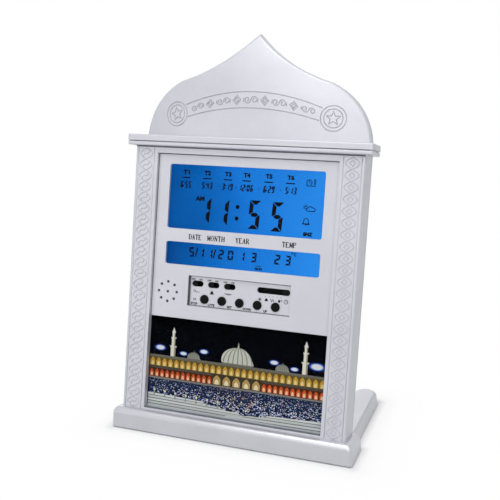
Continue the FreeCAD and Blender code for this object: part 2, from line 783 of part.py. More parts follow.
def bow_crown(body, inset):
    """Cut the crown's face round in plan and bowed back towards the tip."""
    radius = dome_radius - inset
    bow = S.bow_radius - inset
    low = fascia_low
    high = S.crown_tip + S.past
    front = -dome_radius - S.front_depth
    centre = S.bow_radius - dome_radius
    rise = (high - S.dome_bend).number / bow.number
    sketch = side_sketch(body, 0, S.crown_front + dome_radius)
    upright = line(sketch, (-radius, low), (-radius, S.dome_bend))
    bend = arc(sketch, centre, S.dome_bend, bow, 180 - math.degrees(math.asin(rise)), 180)
    end_x = centre.number - math.sqrt(bow.number**2 - (high - S.dome_bend).number**2)
    top = line(sketch, (end_x, high), (front, high))
    face = line(sketch, (front, high), (front, low))
    bottom = line(sketch, (front, low), (-radius, low))
    smooth(sketch, upright, 2, bend, 2)
    meet(sketch, bend, 1, top, 1)
    meet(sketch, top, 2, face, 1)
    meet(sketch, face, 2, bottom, 1)
    meet(sketch, bottom, 2, upright, 1)
    pin(sketch, bend, 3, centre, S.dome_bend)
    pin(sketch, upright, 1, -radius, low)
    pin(sketch, face, 1, front, high)
    pin(sketch, face, 2, front, low)
    sketch.addConstraint(Sketcher.Constraint("Horizontal", top))
    revolve(body, sketch, "PartDesign::Groove", GROOVE_SWING)


def cornice_level(body, low, height, inset):
    """One layer of the cornice, with rounded corners at the front."""
    half = cornice_half - inset
    front = inset - S.cornice_lip
    corner = S.cornice_corner - inset
    back = S.front_depth
    sketch = plan_sketch(body, low)
    turn_y = front + corner
    left = arc(sketch, corner - half, turn_y, corner, 180, 270)
    right = arc(sketch, half - corner, turn_y, corner, 270, 360)
    nose = line(sketch, (corner - half, front), (half - corner, front))
    right_side = line(sketch, (half, turn_y), (half, back))
    rear = line(sketch, (half, back), (-half, back))
    left_side = line(sketch, (-half, back), (-half, turn_y))
    smooth(sketch, left, 2, nose, 1)
    smooth(sketch, nose, 2, right, 1)
    smooth(sketch, right, 2, right_side, 1)
    meet(sketch, right_side, 2, rear, 1)
    meet(sketch, rear, 2, left_side, 1)
    smooth(sketch, left_side, 2, left, 1)
    pin(sketch, left, 3, corner - half, turn_y)
    pin(sketch, right, 3, half - corner, turn_y)
    pin(sketch, rear, 1, half, back)
    pin(sketch, rear, 2, -half, back)
    pad(body, sketch, height)


def make_cornice():
    """Moulding under the crown: bead, groove and fascia, round three sides."""
    body = new_body("cornice")

    def on_rim(edge, height, inset):
        """Front and side edges of a level, at this height."""
        box = edge.BoundBox
        at_front = box.YMin < (inset - S.cornice_lip).number + NEAR
        widest = max(abs(box.XMin), abs(box.XMax))
        at_side = widest > (cornice_half - inset).number - NEAR
        at_back = lies_at(edge, y=S.front_depth)
        return lies_at(edge, z=height) and (at_front or at_side) and not at_back

    bead_top = S.cornice_low + S.bead_height
    cornice_level(body, S.cornice_low, S.bead_height, S.bead_inset)
    round_edges(body, S.bead_round, lambda edge: on_rim(edge, bead_top, S.bead_inset)
                or on_rim(edge, S.cornice_low, S.bead_inset))
    cornice_level(body, bead_top, S.neck_height, S.neck_inset)
    cornice_level(body, fascia_low, S.fascia_height, as_size(0))
    round_edges(body, S.fascia_round, lambda edge: on_rim(edge, cornice_top, as_size(0)))
    return body


def make_front_case():
    """Front shell: columns, cornice and crown in one moulding, open at the back."""
    outer = silhouette("front_outer", 0, 0, as_size(0), S.front_depth)
    bow_crown(outer, as_size(0))

    def on_crown_rim(edge):
        box = edge.BoundBox
        above = box.ZMin > fascia_low.number - NEAR and box.ZMax > cornice_top.number
        in_front = box.YMax < S.front_depth.number - NEAR
        return above and in_front and not runs_along(edge, "x")

    round_edges(outer, S.crown_round, on_crown_rim)
    round_edges(outer, S.column_round,
                lambda edge: runs_along(edge, "z") and lies_at(edge, y=0))
    skin = fused("front_skin", [outer, make_cornice()])

    inner = silhouette("front_inner", S.wall, S.sill, S.wall, S.front_depth + S.past)
    bow_crown(inner, S.wall)
    core = new_body("cornice_core")
    sketch = plan_sketch(core, S.cornice_low + S.wall)
    side = S.case_half - S.wall
    rectangle(sketch, -side, side, S.neck_inset + S.wall - S.cornice_lip,
              S.front_depth + S.past)
    pad(core, sketch, cornice_top - S.cornice_low - 2 * S.wall)
    opening = new_body("front_opening")
    plate(opening, -S.opening_half, S.opening_half, S.sill, S.opening_top,
          -S.past, S.wall + 2 * S.past)
    hollow = fused("front_hollow", [inner, core, opening])
    shell = cut("front_shell", skin, hollow)

    whole = fused("front_whole", [shell, opening_lips(), front_posts(), stand_sockets()])
    bores = new_body("front_bores")
    sketch = plan_sketch(bores, -S.past)
    for x, y in STAND_SCREWS:
        circle(sketch, x, y, pilot_radius)
    pad(bores, sketch, S.past + stand_screw_reach + S.pilot_spare)
    return finish(cut("front_case", whole, bores), "front_case")


def opening_lips():
    """Return lips that hold the face panel, and deeper ones at the picture's sides."""
    lips = new_body("front_lips")
    lip_half = S.opening_half + S.lip_width
    skin = S.wall / 2
    sketch = front_sketch(lips, skin)
    rectangle(sketch, -lip_half, lip_half, S.sill / 2, S.opening_top + S.lip_width)
    rectangle(sketch, -S.opening_half, S.opening_half, S.sill, S.opening_top)
    pad_back(lips, sketch, S.panel_recess - skin)
    for left, right in ((-lip_half, -S.opening_half), (S.opening_half, lip_half)):
        plate(lips, left, right, S.sill / 2, S.panel_low, skin, S.picture_recess - skin)
    return lips


def front_posts():
    """Screw posts with pilot holes, from the front skin to the joint."""
    posts = new_body("front_posts")
    seat = S.wall / 2
    studs(posts, CASE_POSTS[:4], S.boss_radius, seat, boss_joint - seat)
    crown_seat = S.crown_front + S.wall / 2
    crown_seat = crown_seat + chord_sag(dome_radius, S.post_crown_x + S.boss_radius)
    studs(posts, CASE_POSTS[4:], S.boss_radius, crown_seat, boss_joint - crown_seat)
    drill(posts, CASE_POSTS, pilot_radius, pilot_front, S.case_depth)
    return posts


def stand_sockets():
    """Upright bosses inside the bottom wall, for the screws through the stand."""
    sockets = new_body("front_sockets")
    sketch = plan_sketch(sockets, S.sill / 2)
    for x, y in STAND_SCREWS:
        circle(sketch, x, y, S.boss_radius)
    pad(sockets, sketch, stand_screw_reach + S.pilot_spare + S.wall)
    return sockets


def make_rear_case():
    """Back cover: shallow tray with screw wells, battery bay, keyhole, vents and inlet hole."""
    outer = silhouette("rear_outer", 0, 0, S.front_depth, S.case_depth)
    bevel_edges(outer, S.back_bevel, lambda edge: lies_at(edge, y=S.case_depth))
    inner = silhouette("rear_inner", S.wall, S.wall, S.front_depth - S.past, back_inner)
    tray = cut("rear_tray", outer, inner)

    frame_half = door_half + S.door_gap
    frame_low = S.door_low - S.door_gap
    frame_high = S.door_high + S.door_gap
    skin = S.wall / 2
    bay = new_body("rear_bay")
    side = bay_half + S.bay_wall
    plate(bay, -side, side, S.bay_low - S.bay_wall, S.bay_high + S.bay_wall,
          S.bay_front, back_inner + skin - S.bay_front)
    side = frame_half + S.bay_wall
    plate(bay, -side, side, frame_low - S.bay_wall, frame_high + S.bay_wall,
          back_inner - 2 * S.bay_wall, 2 * S.bay_wall + skin)
    studs(bay, CASE_POSTS, S.boss_radius, boss_joint, back_inner + skin - boss_joint)

    holes = new_body("rear_holes")
    plate(holes, -frame_half, frame_half, frame_low, frame_high, back_inner, S.wall + S.past)
    plate(holes, -bay_half, bay_half, S.bay_low, S.bay_high,
          bay_floor, S.case_depth - bay_floor)
    slot_half = S.tongue_half + S.door_gap
    slot_deep = S.tongue_thick + S.tongue_room
    for centre in (-S.tongue_x, S.tongue_x):
        plate(holes, centre - slot_half, centre + slot_half,
              frame_low - S.tongue_drop - S.door_gap, S.bay_low,
              back_inner - slot_deep, slot_deep)

    wells = new_body("rear_wells")
    studs(wells, CASE_POSTS, S.head_radius + S.head_gap, screw_seat, S.well_deep + S.past)
    studs(wells, CASE_POSTS, S.screw_radius + S.screw_gap, boss_joint - S.past,
          S.case_depth - boss_joint)

    cuts = new_body("rear_cuts")
    slot_top = S.key_z + S.key_length - S.key_slot
    through = back_inner - S.past
    deep = S.wall + 2 * S.past
    studs(cuts, [(0, S.key_z)], S.key_radius, through, deep)
    plate(cuts, -S.key_slot, S.key_slot, S.key_z, slot_top, through, deep)
    studs(cuts, [(0, slot_top)], S.key_slot, through, deep)
    sketch = front_sketch(cuts, through)
    for index in range(VENTS):
        height = speaker_z + (index - (VENTS - 1) / 2) * S.vent_pitch
        stadium(sketch, speaker_x - S.vent_half, speaker_x + S.vent_half, height,
                S.vent_radius)
    circle(sketch, S.inlet_x, S.inlet_z, S.inlet_nose + S.thin_gap)
    pad_back(cuts, sketch, deep)

    openings = fused("rear_openings", [holes, wells, cuts])
    whole = fused("rear_whole", [tray, bay])
    return finish(cut("rear_case", whole, openings), "rear_case")


def make_battery_door():
    """Snap-in door: two tongues hook under the frame at the bottom, a catch holds the top."""
    body = new_body("battery_door")
    plate(body, -door_half, door_half, S.door_low, S.door_high, door_inner, S.door_thick)
    top_corner = (S.door_high - S.door_corner).number
    round_edges(body, S.door_corner, lambda edge: runs_along(edge, "y")
                and edge.BoundBox.ZMin > top_corner)
    root_back = door_inner + S.door_thick / 2
    tongue_back = back_inner - S.tongue_gap
    tongue_front = tongue_back - S.tongue_thick
    web_low = S.door_low + S.web_low
    web_high = S.door_low + S.web_high
    for centre in (-S.tongue_x, S.tongue_x):
        sketch = side_sketch(body, centre)
        outline(sketch, [
            (tongue_front, S.door_low - S.tongue_drop),
            (tongue_back, S.door_low - S.tongue_drop),
            (tongue_back, web_low),
            (root_back, web_low),
            (root_back, web_high),
            (tongue_front, web_high),
        ])
        pad(body, sketch, 2 * S.tongue_half, both_ways=True)
    catch_top = S.bay_high - S.catch_gap
    plate(body, -S.catch_half, S.catch_half, catch_top - S.catch_thick, catch_top,
          door_inner - S.catch_reach, root_back + S.catch_reach - door_inner)
    grip = front_sketch(body, S.case_depth)
    for index in range(DOOR_GRIPS):
        height = S.door_high - S.door_grip_top - index * S.door_grip_pitch
        stadium(grip, -S.door_grip_half, S.door_grip_half, height, S.door_grip_radius)
    pocket(body, grip, S.door_grip_deep, reverse=True)
    return finish(body, "battery_door")


# ---------------------------------------------------------------- face

def make_front_panel():
    """Face plate with two windows, sunk control tray, sound holes and board bosses."""
    body = new_body("front_panel")
    plate(body, -panel_half, panel_half, S.panel_low, S.opening_top + S.panel_lap,
          S.panel_recess, S.panel_thick)
    for low, high in ((S.main_low, S.main_high), (S.date_low, S.date_high)):
        sketch = front_sketch(body, S.panel_recess)
        rounded_rectangle(sketch, -S.window_half, S.window_half, low, high, S.window_corner)
        pocket(body, sketch, S.panel_thick)

    tray = S.recess_half + S.recess_wall
    plate(body, -tray, tray, S.recess_low - S.recess_wall, S.recess_high + S.recess_wall,
          S.panel_recess, S.recess_deep + S.recess_wall)
    window(body, -S.recess_half, S.recess_half, S.recess_low, S.recess_high,
           S.panel_recess, S.recess_deep)
    drill(body, [(x, S.button_row) for x in BUTTON_XS], S.button_radius + S.button_gap,
          floor_front, S.recess_wall)
    sketch = front_sketch(body, floor_front)
    for x, length in [(x, S.switch_slot) for x in SWITCH_XS] + [(S.mode_x, S.mode_slot)]:
        stadium(sketch, x - length / 2, x + length / 2, S.slot_row, S.slot_radius)
    pocket(body, sketch, S.recess_wall)

    holes = [(speaker_x, speaker_z)]
    for index in range(SOUND_HOLES):
        turn = 2 * math.pi * index / SOUND_HOLES
        holes.append((speaker_x + S.hole_circle * math.cos(turn),
                      speaker_z + S.hole_circle * math.sin(turn)))
    drill(body, holes, S.hole_radius, S.panel_recess, S.panel_thick)
    ring = front_sketch(body, panel_back)
    bore = S.speaker_radius + S.thin_gap
    circle(ring, speaker_x, speaker_z, bore + S.ring_wall)
    circle(ring, speaker_x, speaker_z, bore)
    pad_back(body, ring, S.ring_deep)

    main_length = S.board_front - panel_back
    control_length = S.control_board_front - floor_back
    studs(body, MAIN_POSTS, S.small_boss, panel_back, main_length)
    studs(body, CONTROL_POSTS, S.control_boss, floor_back, control_length)
    bore_deep = S.small_reach + S.pilot_spare
    drill(body, MAIN_POSTS, small_pilot, S.board_front - bore_deep, bore_deep)
    drill(body, CONTROL_POSTS, small_pilot, S.control_board_front - bore_deep, bore_deep)
    return finish(body, "front_panel")


def make_display():
    """Clear lens, LCD glasses, light guides, their holder, zebra strips and LEDs."""
    lens_half = S.window_half + S.lens_lap
    lens = new_body("display_lens")
    plate(lens, -lens_half, lens_half, S.date_low - S.lens_lap, S.main_high + S.lens_lap,
          panel_back, S.lens_thick)
    finish(lens, "display_lens")

    glass_half = S.window_half + S.glass_lap
    strip_half = S.window_half - S.zebra_inset
    screens = [("main", S.main_low, S.main_high), ("date", S.date_low, S.date_high)]
    zebra = new_body("zebra_strips")
    leds = new_body("backlight_leds")
    strip_sketch = front_sketch(zebra, glass_back)
    led_sketch = front_sketch(leds, glass_back + S.led_inset)
    for name, low, high in screens:
        glass = new_body(f"{name}_lcd")
        plate(glass, -glass_half, glass_half, low - S.glass_lap, high + S.glass_lap,
              glass_front, S.glass_thick)
        finish(glass, f"{name}_lcd")
        guide = new_body(f"{name}_backlight")
        plate(guide, -S.window_half, S.window_half, low, high, glass_back, S.guide_thick)
        finish(guide, f"{name}_backlight")
        for edge_low in (low - S.zebra_gap - S.zebra_wide, high + S.zebra_gap):
            rectangle(strip_sketch, -strip_half, strip_half,
                      edge_low, edge_low + S.zebra_wide)
        for share in (0.25, 0.75):
            height = low + share * (high - low)
            rectangle(led_sketch, S.window_half, S.window_half + S.led_wide,
                      height - S.led_high / 2, height + S.led_high / 2)
    pad_back(zebra, strip_sketch, S.board_front - glass_back)
    finish(zebra, "zebra_strips")
    pad_back(leds, led_sketch, S.guide_thick - 2 * S.led_inset)
    finish(leds, "backlight_leds")

    holder = new_body("lcd_holder")
    holder_half = glass_half + S.holder_wall
    rim = S.glass_lap + S.holder_ledge
    deep = S.board_front - lens_back
    plate(holder, -holder_half, holder_half, S.date_low - rim, S.main_high + rim,
          lens_back, deep)
    room = S.glass_lap + S.fit_gap
    room_half = S.window_half + room
    for _, low, high in screens:
        window(holder, -room_half, room_half, low - room, high + room, lens_back, deep)
    finish(holder, "lcd_holder")


def make_main_board():
    board = new_body("main_board")
    half = panel_half - S.board_margin
    plate(board, -half, half, S.date_low - S.board_reach, S.main_high + S.board_reach,
          S.board_front, S.board_thick)
    drill(board, MAIN_POSTS, S.small_screw + S.screw_gap, S.board_front, S.board_thick)
    finish(board, "main_board")

    back = S.board_front + S.board_thick
    chips = new_body("chip_blobs")
    for x, z, radius in CHIPS:
        studs(chips, [(x, z)], radius, back, S.chip_thick)
    finish(chips, "chip_blobs")

    sensor = new_body("temperature_sensor")
    studs(sensor, [(S.sensor_x, S.sensor_z)], S.sensor_radius, back, S.sensor_length)
    flat = S.sensor_z - S.sensor_flat
    window(sensor, S.sensor_x - S.sensor_radius, S.sensor_x + S.sensor_radius,
           flat - S.sensor_radius, flat, back, S.sensor_length)
    finish(sensor, "temperature_sensor")


def make_control_board():
    board = new_body("control_board")
    plate(board, -S.recess_half, S.recess_half, S.recess_low, S.recess_high,
          S.control_board_front, S.board_thick)
    drill(board, CONTROL_POSTS, S.small_screw + S.screw_gap,
          S.control_board_front, S.board_thick)
    finish(board, "control_board")


def make_board_screws():
    screws = new_body("board_screws")
    for places, front in ((MAIN_POSTS, S.board_front), (CONTROL_POSTS, S.control_board_front)):
        studs(screws, places, S.small_screw, front - S.small_reach,
              S.board_thick + S.small_reach)
        studs(screws, places, S.small_head, front + S.board_thick, S.small_head_thick)
    finish(screws, "board_screws")


# ---------------------------------------------------------------- controls

def make_buttons():
    """Each push button bears on the plunger of a tactile switch."""
    cap_front = floor_front - S.button_proud
    plunger_length = S.tact_front - flange_back + S.plunger_sink
    half = S.tact_size / 2
    for name, x in zip(BUTTONS, BUTTON_XS):
        place = [(x, S.button_row)]
        cap = new_body(f"button_{name}")
        studs(cap, place, S.button_radius, cap_front, flange_front - cap_front)
        bevel_edges(cap, S.button_bevel, lambda edge: lies_at(edge, y=cap_front))
        studs(cap, place, S.flange_radius, flange_front, S.flange_thick)
        finish(cap, f"button_{name}")

        plunger = new_body(f"plunger_{name}")
        studs(plunger, place, S.plunger_radius, flange_back, plunger_length)
        finish(plunger, f"plunger_{name}")

        tact = new_body(f"tact_switch_{name}")
        plate(tact, x - half, x + half, S.button_row - half, S.button_row + half,
              S.tact_front, S.control_board_front - S.tact_front)
        drill(tact, place, S.plunger_radius + S.plunger_gap, S.tact_front,
              S.plunger_sink + S.button_travel + S.fit_gap)
        finish(tact, f"tact_switch_{name}")


def make_slide(name, x, slot, knob, on_the_left):
    """A knob in its slot, with a foot that runs in the channel of the switch body."""
    travel = slot - knob - 2 * S.knob_gap
    rest = x - travel / 2 if on_the_left else x + travel / 2
    foot_half = knob / 2 - S.slide_foot_inset
    knob_front = floor_front - S.knob_proud
    knob_back = S.slide_front - S.knob_gap

    piece = new_body(f"knob_{name}")
    sketch = front_sketch(piece, knob_front)
    stadium(sketch, rest - knob / 2, rest + knob / 2, S.slot_row, S.knob_radius)
    pad_back(piece, sketch, knob_back - knob_front)
    grip = front_sketch(piece, knob_front)
    for index in range(KNOB_GRIPS):
        centre = rest + (index - (KNOB_GRIPS - 1) / 2) * S.grip_pitch
        rectangle(grip, centre - S.grip_wide / 2, centre + S.grip_wide / 2,
                  S.slot_row - S.grip_high / 2, S.slot_row + S.grip_high / 2)
    pocket(piece, grip, S.grip_deep)
    plate(piece, rest - foot_half, rest + foot_half, S.slot_row - S.slide_foot_high / 2,
          S.slot_row + S.slide_foot_high / 2, knob_back, S.slide_foot_deep)
    finish(piece, f"knob_{name}")

    body = new_body(f"switch_body_{name}")
    channel_half = travel / 2 + foot_half + S.fit_gap
    channel_high = S.slide_foot_high / 2 + S.fit_gap
    body_half = channel_half + S.slide_body_wall
    plate(body, x - body_half, x + body_half, S.slot_row - S.slide_body_high / 2,
          S.slot_row + S.slide_body_high / 2, S.slide_front,
          S.control_board_front - S.slide_front)
    window(body, x - channel_half, x + channel_half, S.slot_row - channel_high,
           S.slot_row + channel_high, S.slide_front, S.slide_foot_deep)
    finish(body, f"switch_body_{name}")


def make_slides():
    for name, x in zip(SWITCHES, SWITCH_XS):
        make_slide(name, x, S.switch_slot, S.switch_knob, True)
    make_slide("mode", S.mode_x, S.mode_slot, S.mode_knob, False)


def turned_piece(name, centre, profile):
    """A round piece on an axis that runs backwards through a point of the face."""
    body = new_body(name)
    x, z = centre
    sketch = sketch_on(body, "XY_Plane", z, x)
    outline(sketch, profile)
    revolve(body, sketch)
    return finish(body, name)


def make_speaker():
    centre = (speaker_x, speaker_z)
    rim = S.speaker_radius
    rim_back = panel_back + S.speaker_step
    back = panel_back + S.speaker_deep
    turned_piece("speaker_basket", centre, [
        (rim - S.speaker_lip, panel_back),
        (rim, panel_back),
        (rim, rim_back),
        (S.speaker_neck, back),
        (S.speaker_throat, back),
        (S.speaker_throat, back - S.speaker_sheet),
        (S.speaker_neck - S.speaker_sheet / 2, back - S.speaker_sheet),
        (rim - S.speaker_lip, rim_back),
    ])
    edge = rim - S.speaker_lip - S.thin_gap
    edge_front = panel_back + S.cone_front
    cap_front = panel_back + S.cone_deep
    middle_front = cap_front - S.speaker_sheet
    turned_piece("speaker_cone", centre, [
        (0, middle_front),
        (S.cone_cap, cap_front),
        (edge, edge_front),
        (edge, edge_front + S.cone_paper),
        (S.cone_cap, cap_front + S.cone_paper),
        (0, middle_front + S.cone_paper),
    ])
    magnet = new_body("speaker_magnet")
    studs(magnet, [centre], S.magnet_radius, back, S.magnet_thick)
    finish(magnet, "speaker_magnet")


# ---------------------------------------------------------------- picture, battery, inlet

def make_picture():
    half = S.opening_half + S.picture_lap
    glass = new_body("picture_window")
    plate(glass, -half, half, S.sill, window_top, S.picture_recess, S.picture_glass)
    finish(glass, "picture_window")
    card = new_body("picture_card")
    plate(card, -half, half, S.sill, window_top, card_front, S.picture_card)
    finish(card, "picture_card")


def make_batteries():
    """Three AA cells lying across the bay, each the other way round from its neighbour."""
    cell_y = bay_floor + S.thin_gap + S.cell_radius
    contact_x = bay_half - S.contact_thick
    plates = new_body("battery_plates")
    leaves = new_body("battery_springs")
    for index in range(CELLS):
        height = S.cell_low + index * S.cell_pitch
        side = 1 if index % 2 == 0 else -1
        flat_end = side * (contact_x - S.cell_length)
        shoulder = side * (contact_x - S.nub_length)
        cell = new_body(f"battery_{index + 1}")
        sketch = sketch_on(cell, "YZ_Plane", flat_end)
        circle(sketch, cell_y, height, S.cell_radius)
        pad(cell, sketch, S.cell_length - S.nub_length, reverse=side < 0)
        bevel_edges(cell, S.cell_bevel, lambda edge: lies_at(edge, x=shoulder))
        sketch = sketch_on(cell, "YZ_Plane", shoulder)
        circle(sketch, cell_y, height, S.nub_radius)
        pad(cell, sketch, S.nub_length, reverse=side < 0)
        finish(cell, f"battery_{index + 1}")

        for end in (-1, 1):
            sketch = sketch_on(plates, "YZ_Plane", end * contact_x)
            rectangle(sketch, cell_y - S.contact_wide / 2, cell_y + S.contact_wide / 2,
                      height - S.contact_high / 2, height + S.contact_high / 2)
            pad(plates, sketch, S.contact_thick, reverse=end < 0)
        spring_leaf(leaves, -side * contact_x, flat_end, side, cell_y, height)
    finish(plates, "battery_plates")
    finish(leaves, "battery_springs")


def spring_leaf(body, plate_x, cell_x, side, y, z):
    """A bent leaf from its contact plate to the flat end of a cell, with one end free."""
    thick = side * S.contact_thick
    free_x = plate_x + side * S.leaf_open
    sketch = front_sketch(body, y - S.leaf_wide / 2)
    outline(sketch, [
        (plate_x, z + S.leaf_root),
        (cell_x, z + S.leaf_flat),
        (cell_x, z - S.leaf_flat),
        (free_x + thick, z - S.leaf_root),
        (free_x, z - S.leaf_root),
        (cell_x - thick, z - S.leaf_flat),
        (cell_x - thick, z + S.leaf_flat),
        (plate_x, z + S.leaf_root - S.contact_thick),
    ])
    pad_back(body, sketch, S.leaf_wide)


def make_dc_inlet():
    """Barrel socket with its centre pin, behind a round hole in the rear case."""
    body = new_body("dc_inlet")
    half = S.inlet_size / 2
    place = [(S.inlet_x, S.inlet_z)]
    bore_front = S.case_depth - S.inlet_bore_deep
    plate(body, S.inlet_x - half, S.inlet_x + half, S.inlet_z - half, S.inlet_z + half,
          back_inner - S.inlet_deep, S.inlet_deep)
    studs(body, place, S.inlet_nose, back_inner, S.wall)
    drill(body, place, S.inlet_bore, bore_front, S.inlet_bore_deep)
    studs(body, place, S.inlet_pin, bore_front, S.inlet_pin_length)
    finish(body, "dc_inlet")


# ---------------------------------------------------------------- stand

def seat_sketch(body):
    """Sketch on the case's sloping underside, in the head's x and y."""
    sketch = plan_sketch(body, 0)
    turn = FreeCAD.Rotation(V(-1, 0, 0), S.lean.number)
    origin = V(0, foot_line.number, S.foot_height.number)
    sketch.AttachmentOffset = FreeCAD.Placement(origin, turn)
    bind(sketch, "AttachmentOffset.Base.y", foot_line)
    bind(sketch, "AttachmentOffset.Base.z", S.foot_height)
    bind(sketch, "AttachmentOffset.Rotation.Angle", S.lean)
    return sketch


def make_stand():
    """Front bar with a sloping seat, and two legs that run backwards."""
    body = new_body("stand")
    bar_front = -S.stand_depth / 2
    bar_back = foot_line + S.case_depth
    seat_fall = S.case_depth * tangent(S.lean)
    sketch = side_sketch(body, 0)
    outline(sketch, [
        (bar_front, S.rim_height), (bar_back, S.rim_height),
        (bar_back, S.foot_height - seat_fall), (foot_line, S.foot_height),
        (bar_front, S.foot_height),
    ])
    pad(body, sketch, 2 * bar_half, both_ways=True)
    draft_bar(body, bar_front, bar_back)

    def at_end(edge):
        inner = (bar_half - S.bar_draft).number - NEAR
        return edge.BoundBox.XMin > inner or edge.BoundBox.XMax < -inner

    def on_top(edge):
        """The bar's upper edges, along its front and over its ends."""
        over_end = at_end(edge) and edge.BoundBox.ZMin > S.rim_height.number + NEAR
        top_front = runs_along(edge, "x") and lies_at(edge, y=bar_front, z=S.foot_height)
        return over_end or top_front

    def on_corner(edge):
        """What the rounding above has left of the bar's two front corners."""
        return at_end(edge) and lies_at(edge, y=bar_front)

    round_edges(body, S.bar_round, on_top)
    round_edges(body, S.bar_corner, on_corner)

    leg_end = S.stand_depth / 2
    leg_radius = S.leg_width / 2
    leg_x = leg_outer - leg_radius
    root = bar_back - S.bar_round
    for centre in (-leg_x, leg_x):
        sketch = plan_sketch(body, S.rim_height)
        tip = arc(sketch, centre, leg_end - leg_radius, leg_radius, 0, 180)
        left = line(sketch, (centre - leg_radius, leg_end - leg_radius),
                    (centre - leg_radius, root))
        front = line(sketch, (centre - leg_radius, root), (centre + leg_radius, root))
        right = line(sketch, (centre + leg_radius, root),
                     (centre + leg_radius, leg_end - leg_radius))
        smooth(sketch, tip, 2, left, 1)
        meet(sketch, left, 2, front, 1)
        meet(sketch, front, 2, right, 1)
        smooth(sketch, right, 2, tip, 1)
        pin(sketch, tip, 3, centre, leg_end - leg_radius)
        pin(sketch, front, 1, centre - leg_radius, root)
        pin(sketch, front, 2, centre + leg_radius, root)
        leg = pad(body, sketch, S.leg_height - S.rim_height)
        bind(leg, "TaperAngle", -S.leg_draft)
        doc.recompute()
    round_edges(body, S.leg_round, lambda edge: lies_at(edge, z=S.leg_height)
                and edge.BoundBox.YMax > bar_back.number + NEAR)

    bar_deep = S.foot_height - seat_fall - S.stand_wall - S.rim_height
    hollow_bar(body, bar_front, bar_back, bar_deep)
    hollow_legs(body, bar_back, leg_x, leg_end)
    seat_feet(body, bar_deep)
    seat = seat_sketch(body)
    for x, y in STAND_SCREWS:
        circle(seat, x, y, S.boss_radius)
    pad(body, seat, S.stand_boss, reverse=True)
    bores = seat_sketch(body)
    for x, y in STAND_SCREWS:
        circle(bores, x, y, S.screw_radius + S.screw_gap)
    pocket(body, bores, S.stand_boss + S.past)
    return finish(body, "stand", on_head=False)


def draft_bar(body, bar_front, bar_back):
    """Let the bar's ends lean in towards the top, as moulded parts do."""
    over = S.foot_height + S.past
    lean_in = S.bar_draft * (over - S.rim_height) / (S.foot_height - S.rim_height)
    sketch = front_sketch(body, bar_front - S.past)
    for side in (-1, 1):
        outline(sketch, [
            (side * bar_half, S.rim_height),
            (side * (bar_half + S.past), S.rim_height),
            (side * (bar_half + S.past), over),
            (side * (bar_half - lean_in), over),
        ])
    pocket(body, sketch, bar_back - bar_front + 2 * S.past)


def hollow_bar(body, bar_front, bar_back, deep):
    """Open cells in the bar's underside, with ribs between them."""
    half = bar_half - S.bar_draft - S.stand_wall
    cell = (2 * half - (BAR_CELLS - 1) * S.rib) / BAR_CELLS
    sketch = plan_sketch(body, S.rim_height)
    for index in range(BAR_CELLS):
        left = index * (cell + S.rib) - half
        rectangle(sketch, left, left + cell, bar_front + S.stand_wall,
                  bar_back - S.stand_wall)
    pocket(body, sketch, deep, reverse=True)


def hollow_legs(body, bar_back, leg_x, leg_end):
    """Open cells in the legs' undersides, short of their round ends."""
    low = bar_back + S.rib
    lean_in = (S.leg_height - S.rim_height) * tangent(S.leg_draft)
    half = S.leg_width / 2 - lean_in - S.stand_wall
    cell = (leg_end - S.leg_width / 2 - low - (LEG_CELLS - 1) * S.rib) / LEG_CELLS
    sketch = plan_sketch(body, S.rim_height)
    for centre in (-leg_x, leg_x):
        for index in range(LEG_CELLS):
            start = low + index * (cell + S.rib)
            rectangle(sketch, centre - half, centre + half, start, start + cell)
    pocket(body, sketch, S.leg_height - S.stand_wall - S.rim_height, reverse=True)


def foot_places():
    """Centres of the four rubber feet."""
    leg_x = leg_outer - S.leg_width / 2
    front = [(side * (bar_half - S.pad_inset), foot_line + S.pad_back) for side in (-1, 1)]
    back = [(side * leg_x, S.stand_depth / 2 - S.leg_width / 2) for side in (-1, 1)]
    return front + back


def seat_feet(body, deep):
    """A solid land with a shallow recess for each rubber foot."""
    lands = plan_sketch(body, S.rim_height)
    recesses = []
    for x, y in foot_places():
        circle(lands, x, y, S.pad_radius + S.pad_land)
        recesses.append((x, y, S.pad_radius + S.pad_slack))
    pad(body, lands, deep)
    sketch = plan_sketch(body, S.rim_height)
    for recess in recesses:
        circle(sketch, *recess)
    pocket(body, sketch, S.pad_thick - S.rim_height, reverse=True)


def make_feet():
    feet = new_body("rubber_feet")
    sketch = plan_sketch(feet, 0)
    for x, y in foot_places():
        circle(sketch, x, y, S.pad_radius)
    pad(feet, sketch, S.pad_thick)
    finish(feet, "rubber_feet", on_head=False)


def make_screws():
    """Screws up through the stand, and screws from the back through the case."""
    screws = new_body("stand_screws")
    for radius, length, downwards in (
        (S.screw_radius, S.stand_screw_length, False),
        (S.head_radius, S.head_thick, True),
    ):
        sketch = plan_sketch(screws, -S.stand_boss)
        for x, y in STAND_SCREWS:
            circle(sketch, x, y, radius)
        pad(screws, sketch, length, reverse=downwards)
    finish(screws, "stand_screws")

    screws = new_body("case_screws")
    studs(screws, CASE_POSTS, S.screw_radius, screw_seat - S.case_screw_length,
          S.case_screw_length)
    studs(screws, CASE_POSTS, S.head_radius, screw_seat, S.head_thick)
    finish(screws, "case_screws")


# ---------------------------------------------------------------- export

def check_document():
    """Stop if any object failed, or if a sub-part is empty or broken."""
    doc.recompute()
    for thing in doc.Objects:
        if "Invalid" in thing.State or "Error" in thing.State:
            raise RuntimeError(f"{thing.Name} failed: {thing.State}")
    for part in SUB_PARTS:
        if part.Shape.isNull() or not part.Shape.isValid() or not part.Shape.Solids:
            raise RuntimeError(f"{part.Label} has no valid solid")
    if len(SUB_PARTS) > MOST_FILES:
        raise RuntimeError("too many sub-parts")


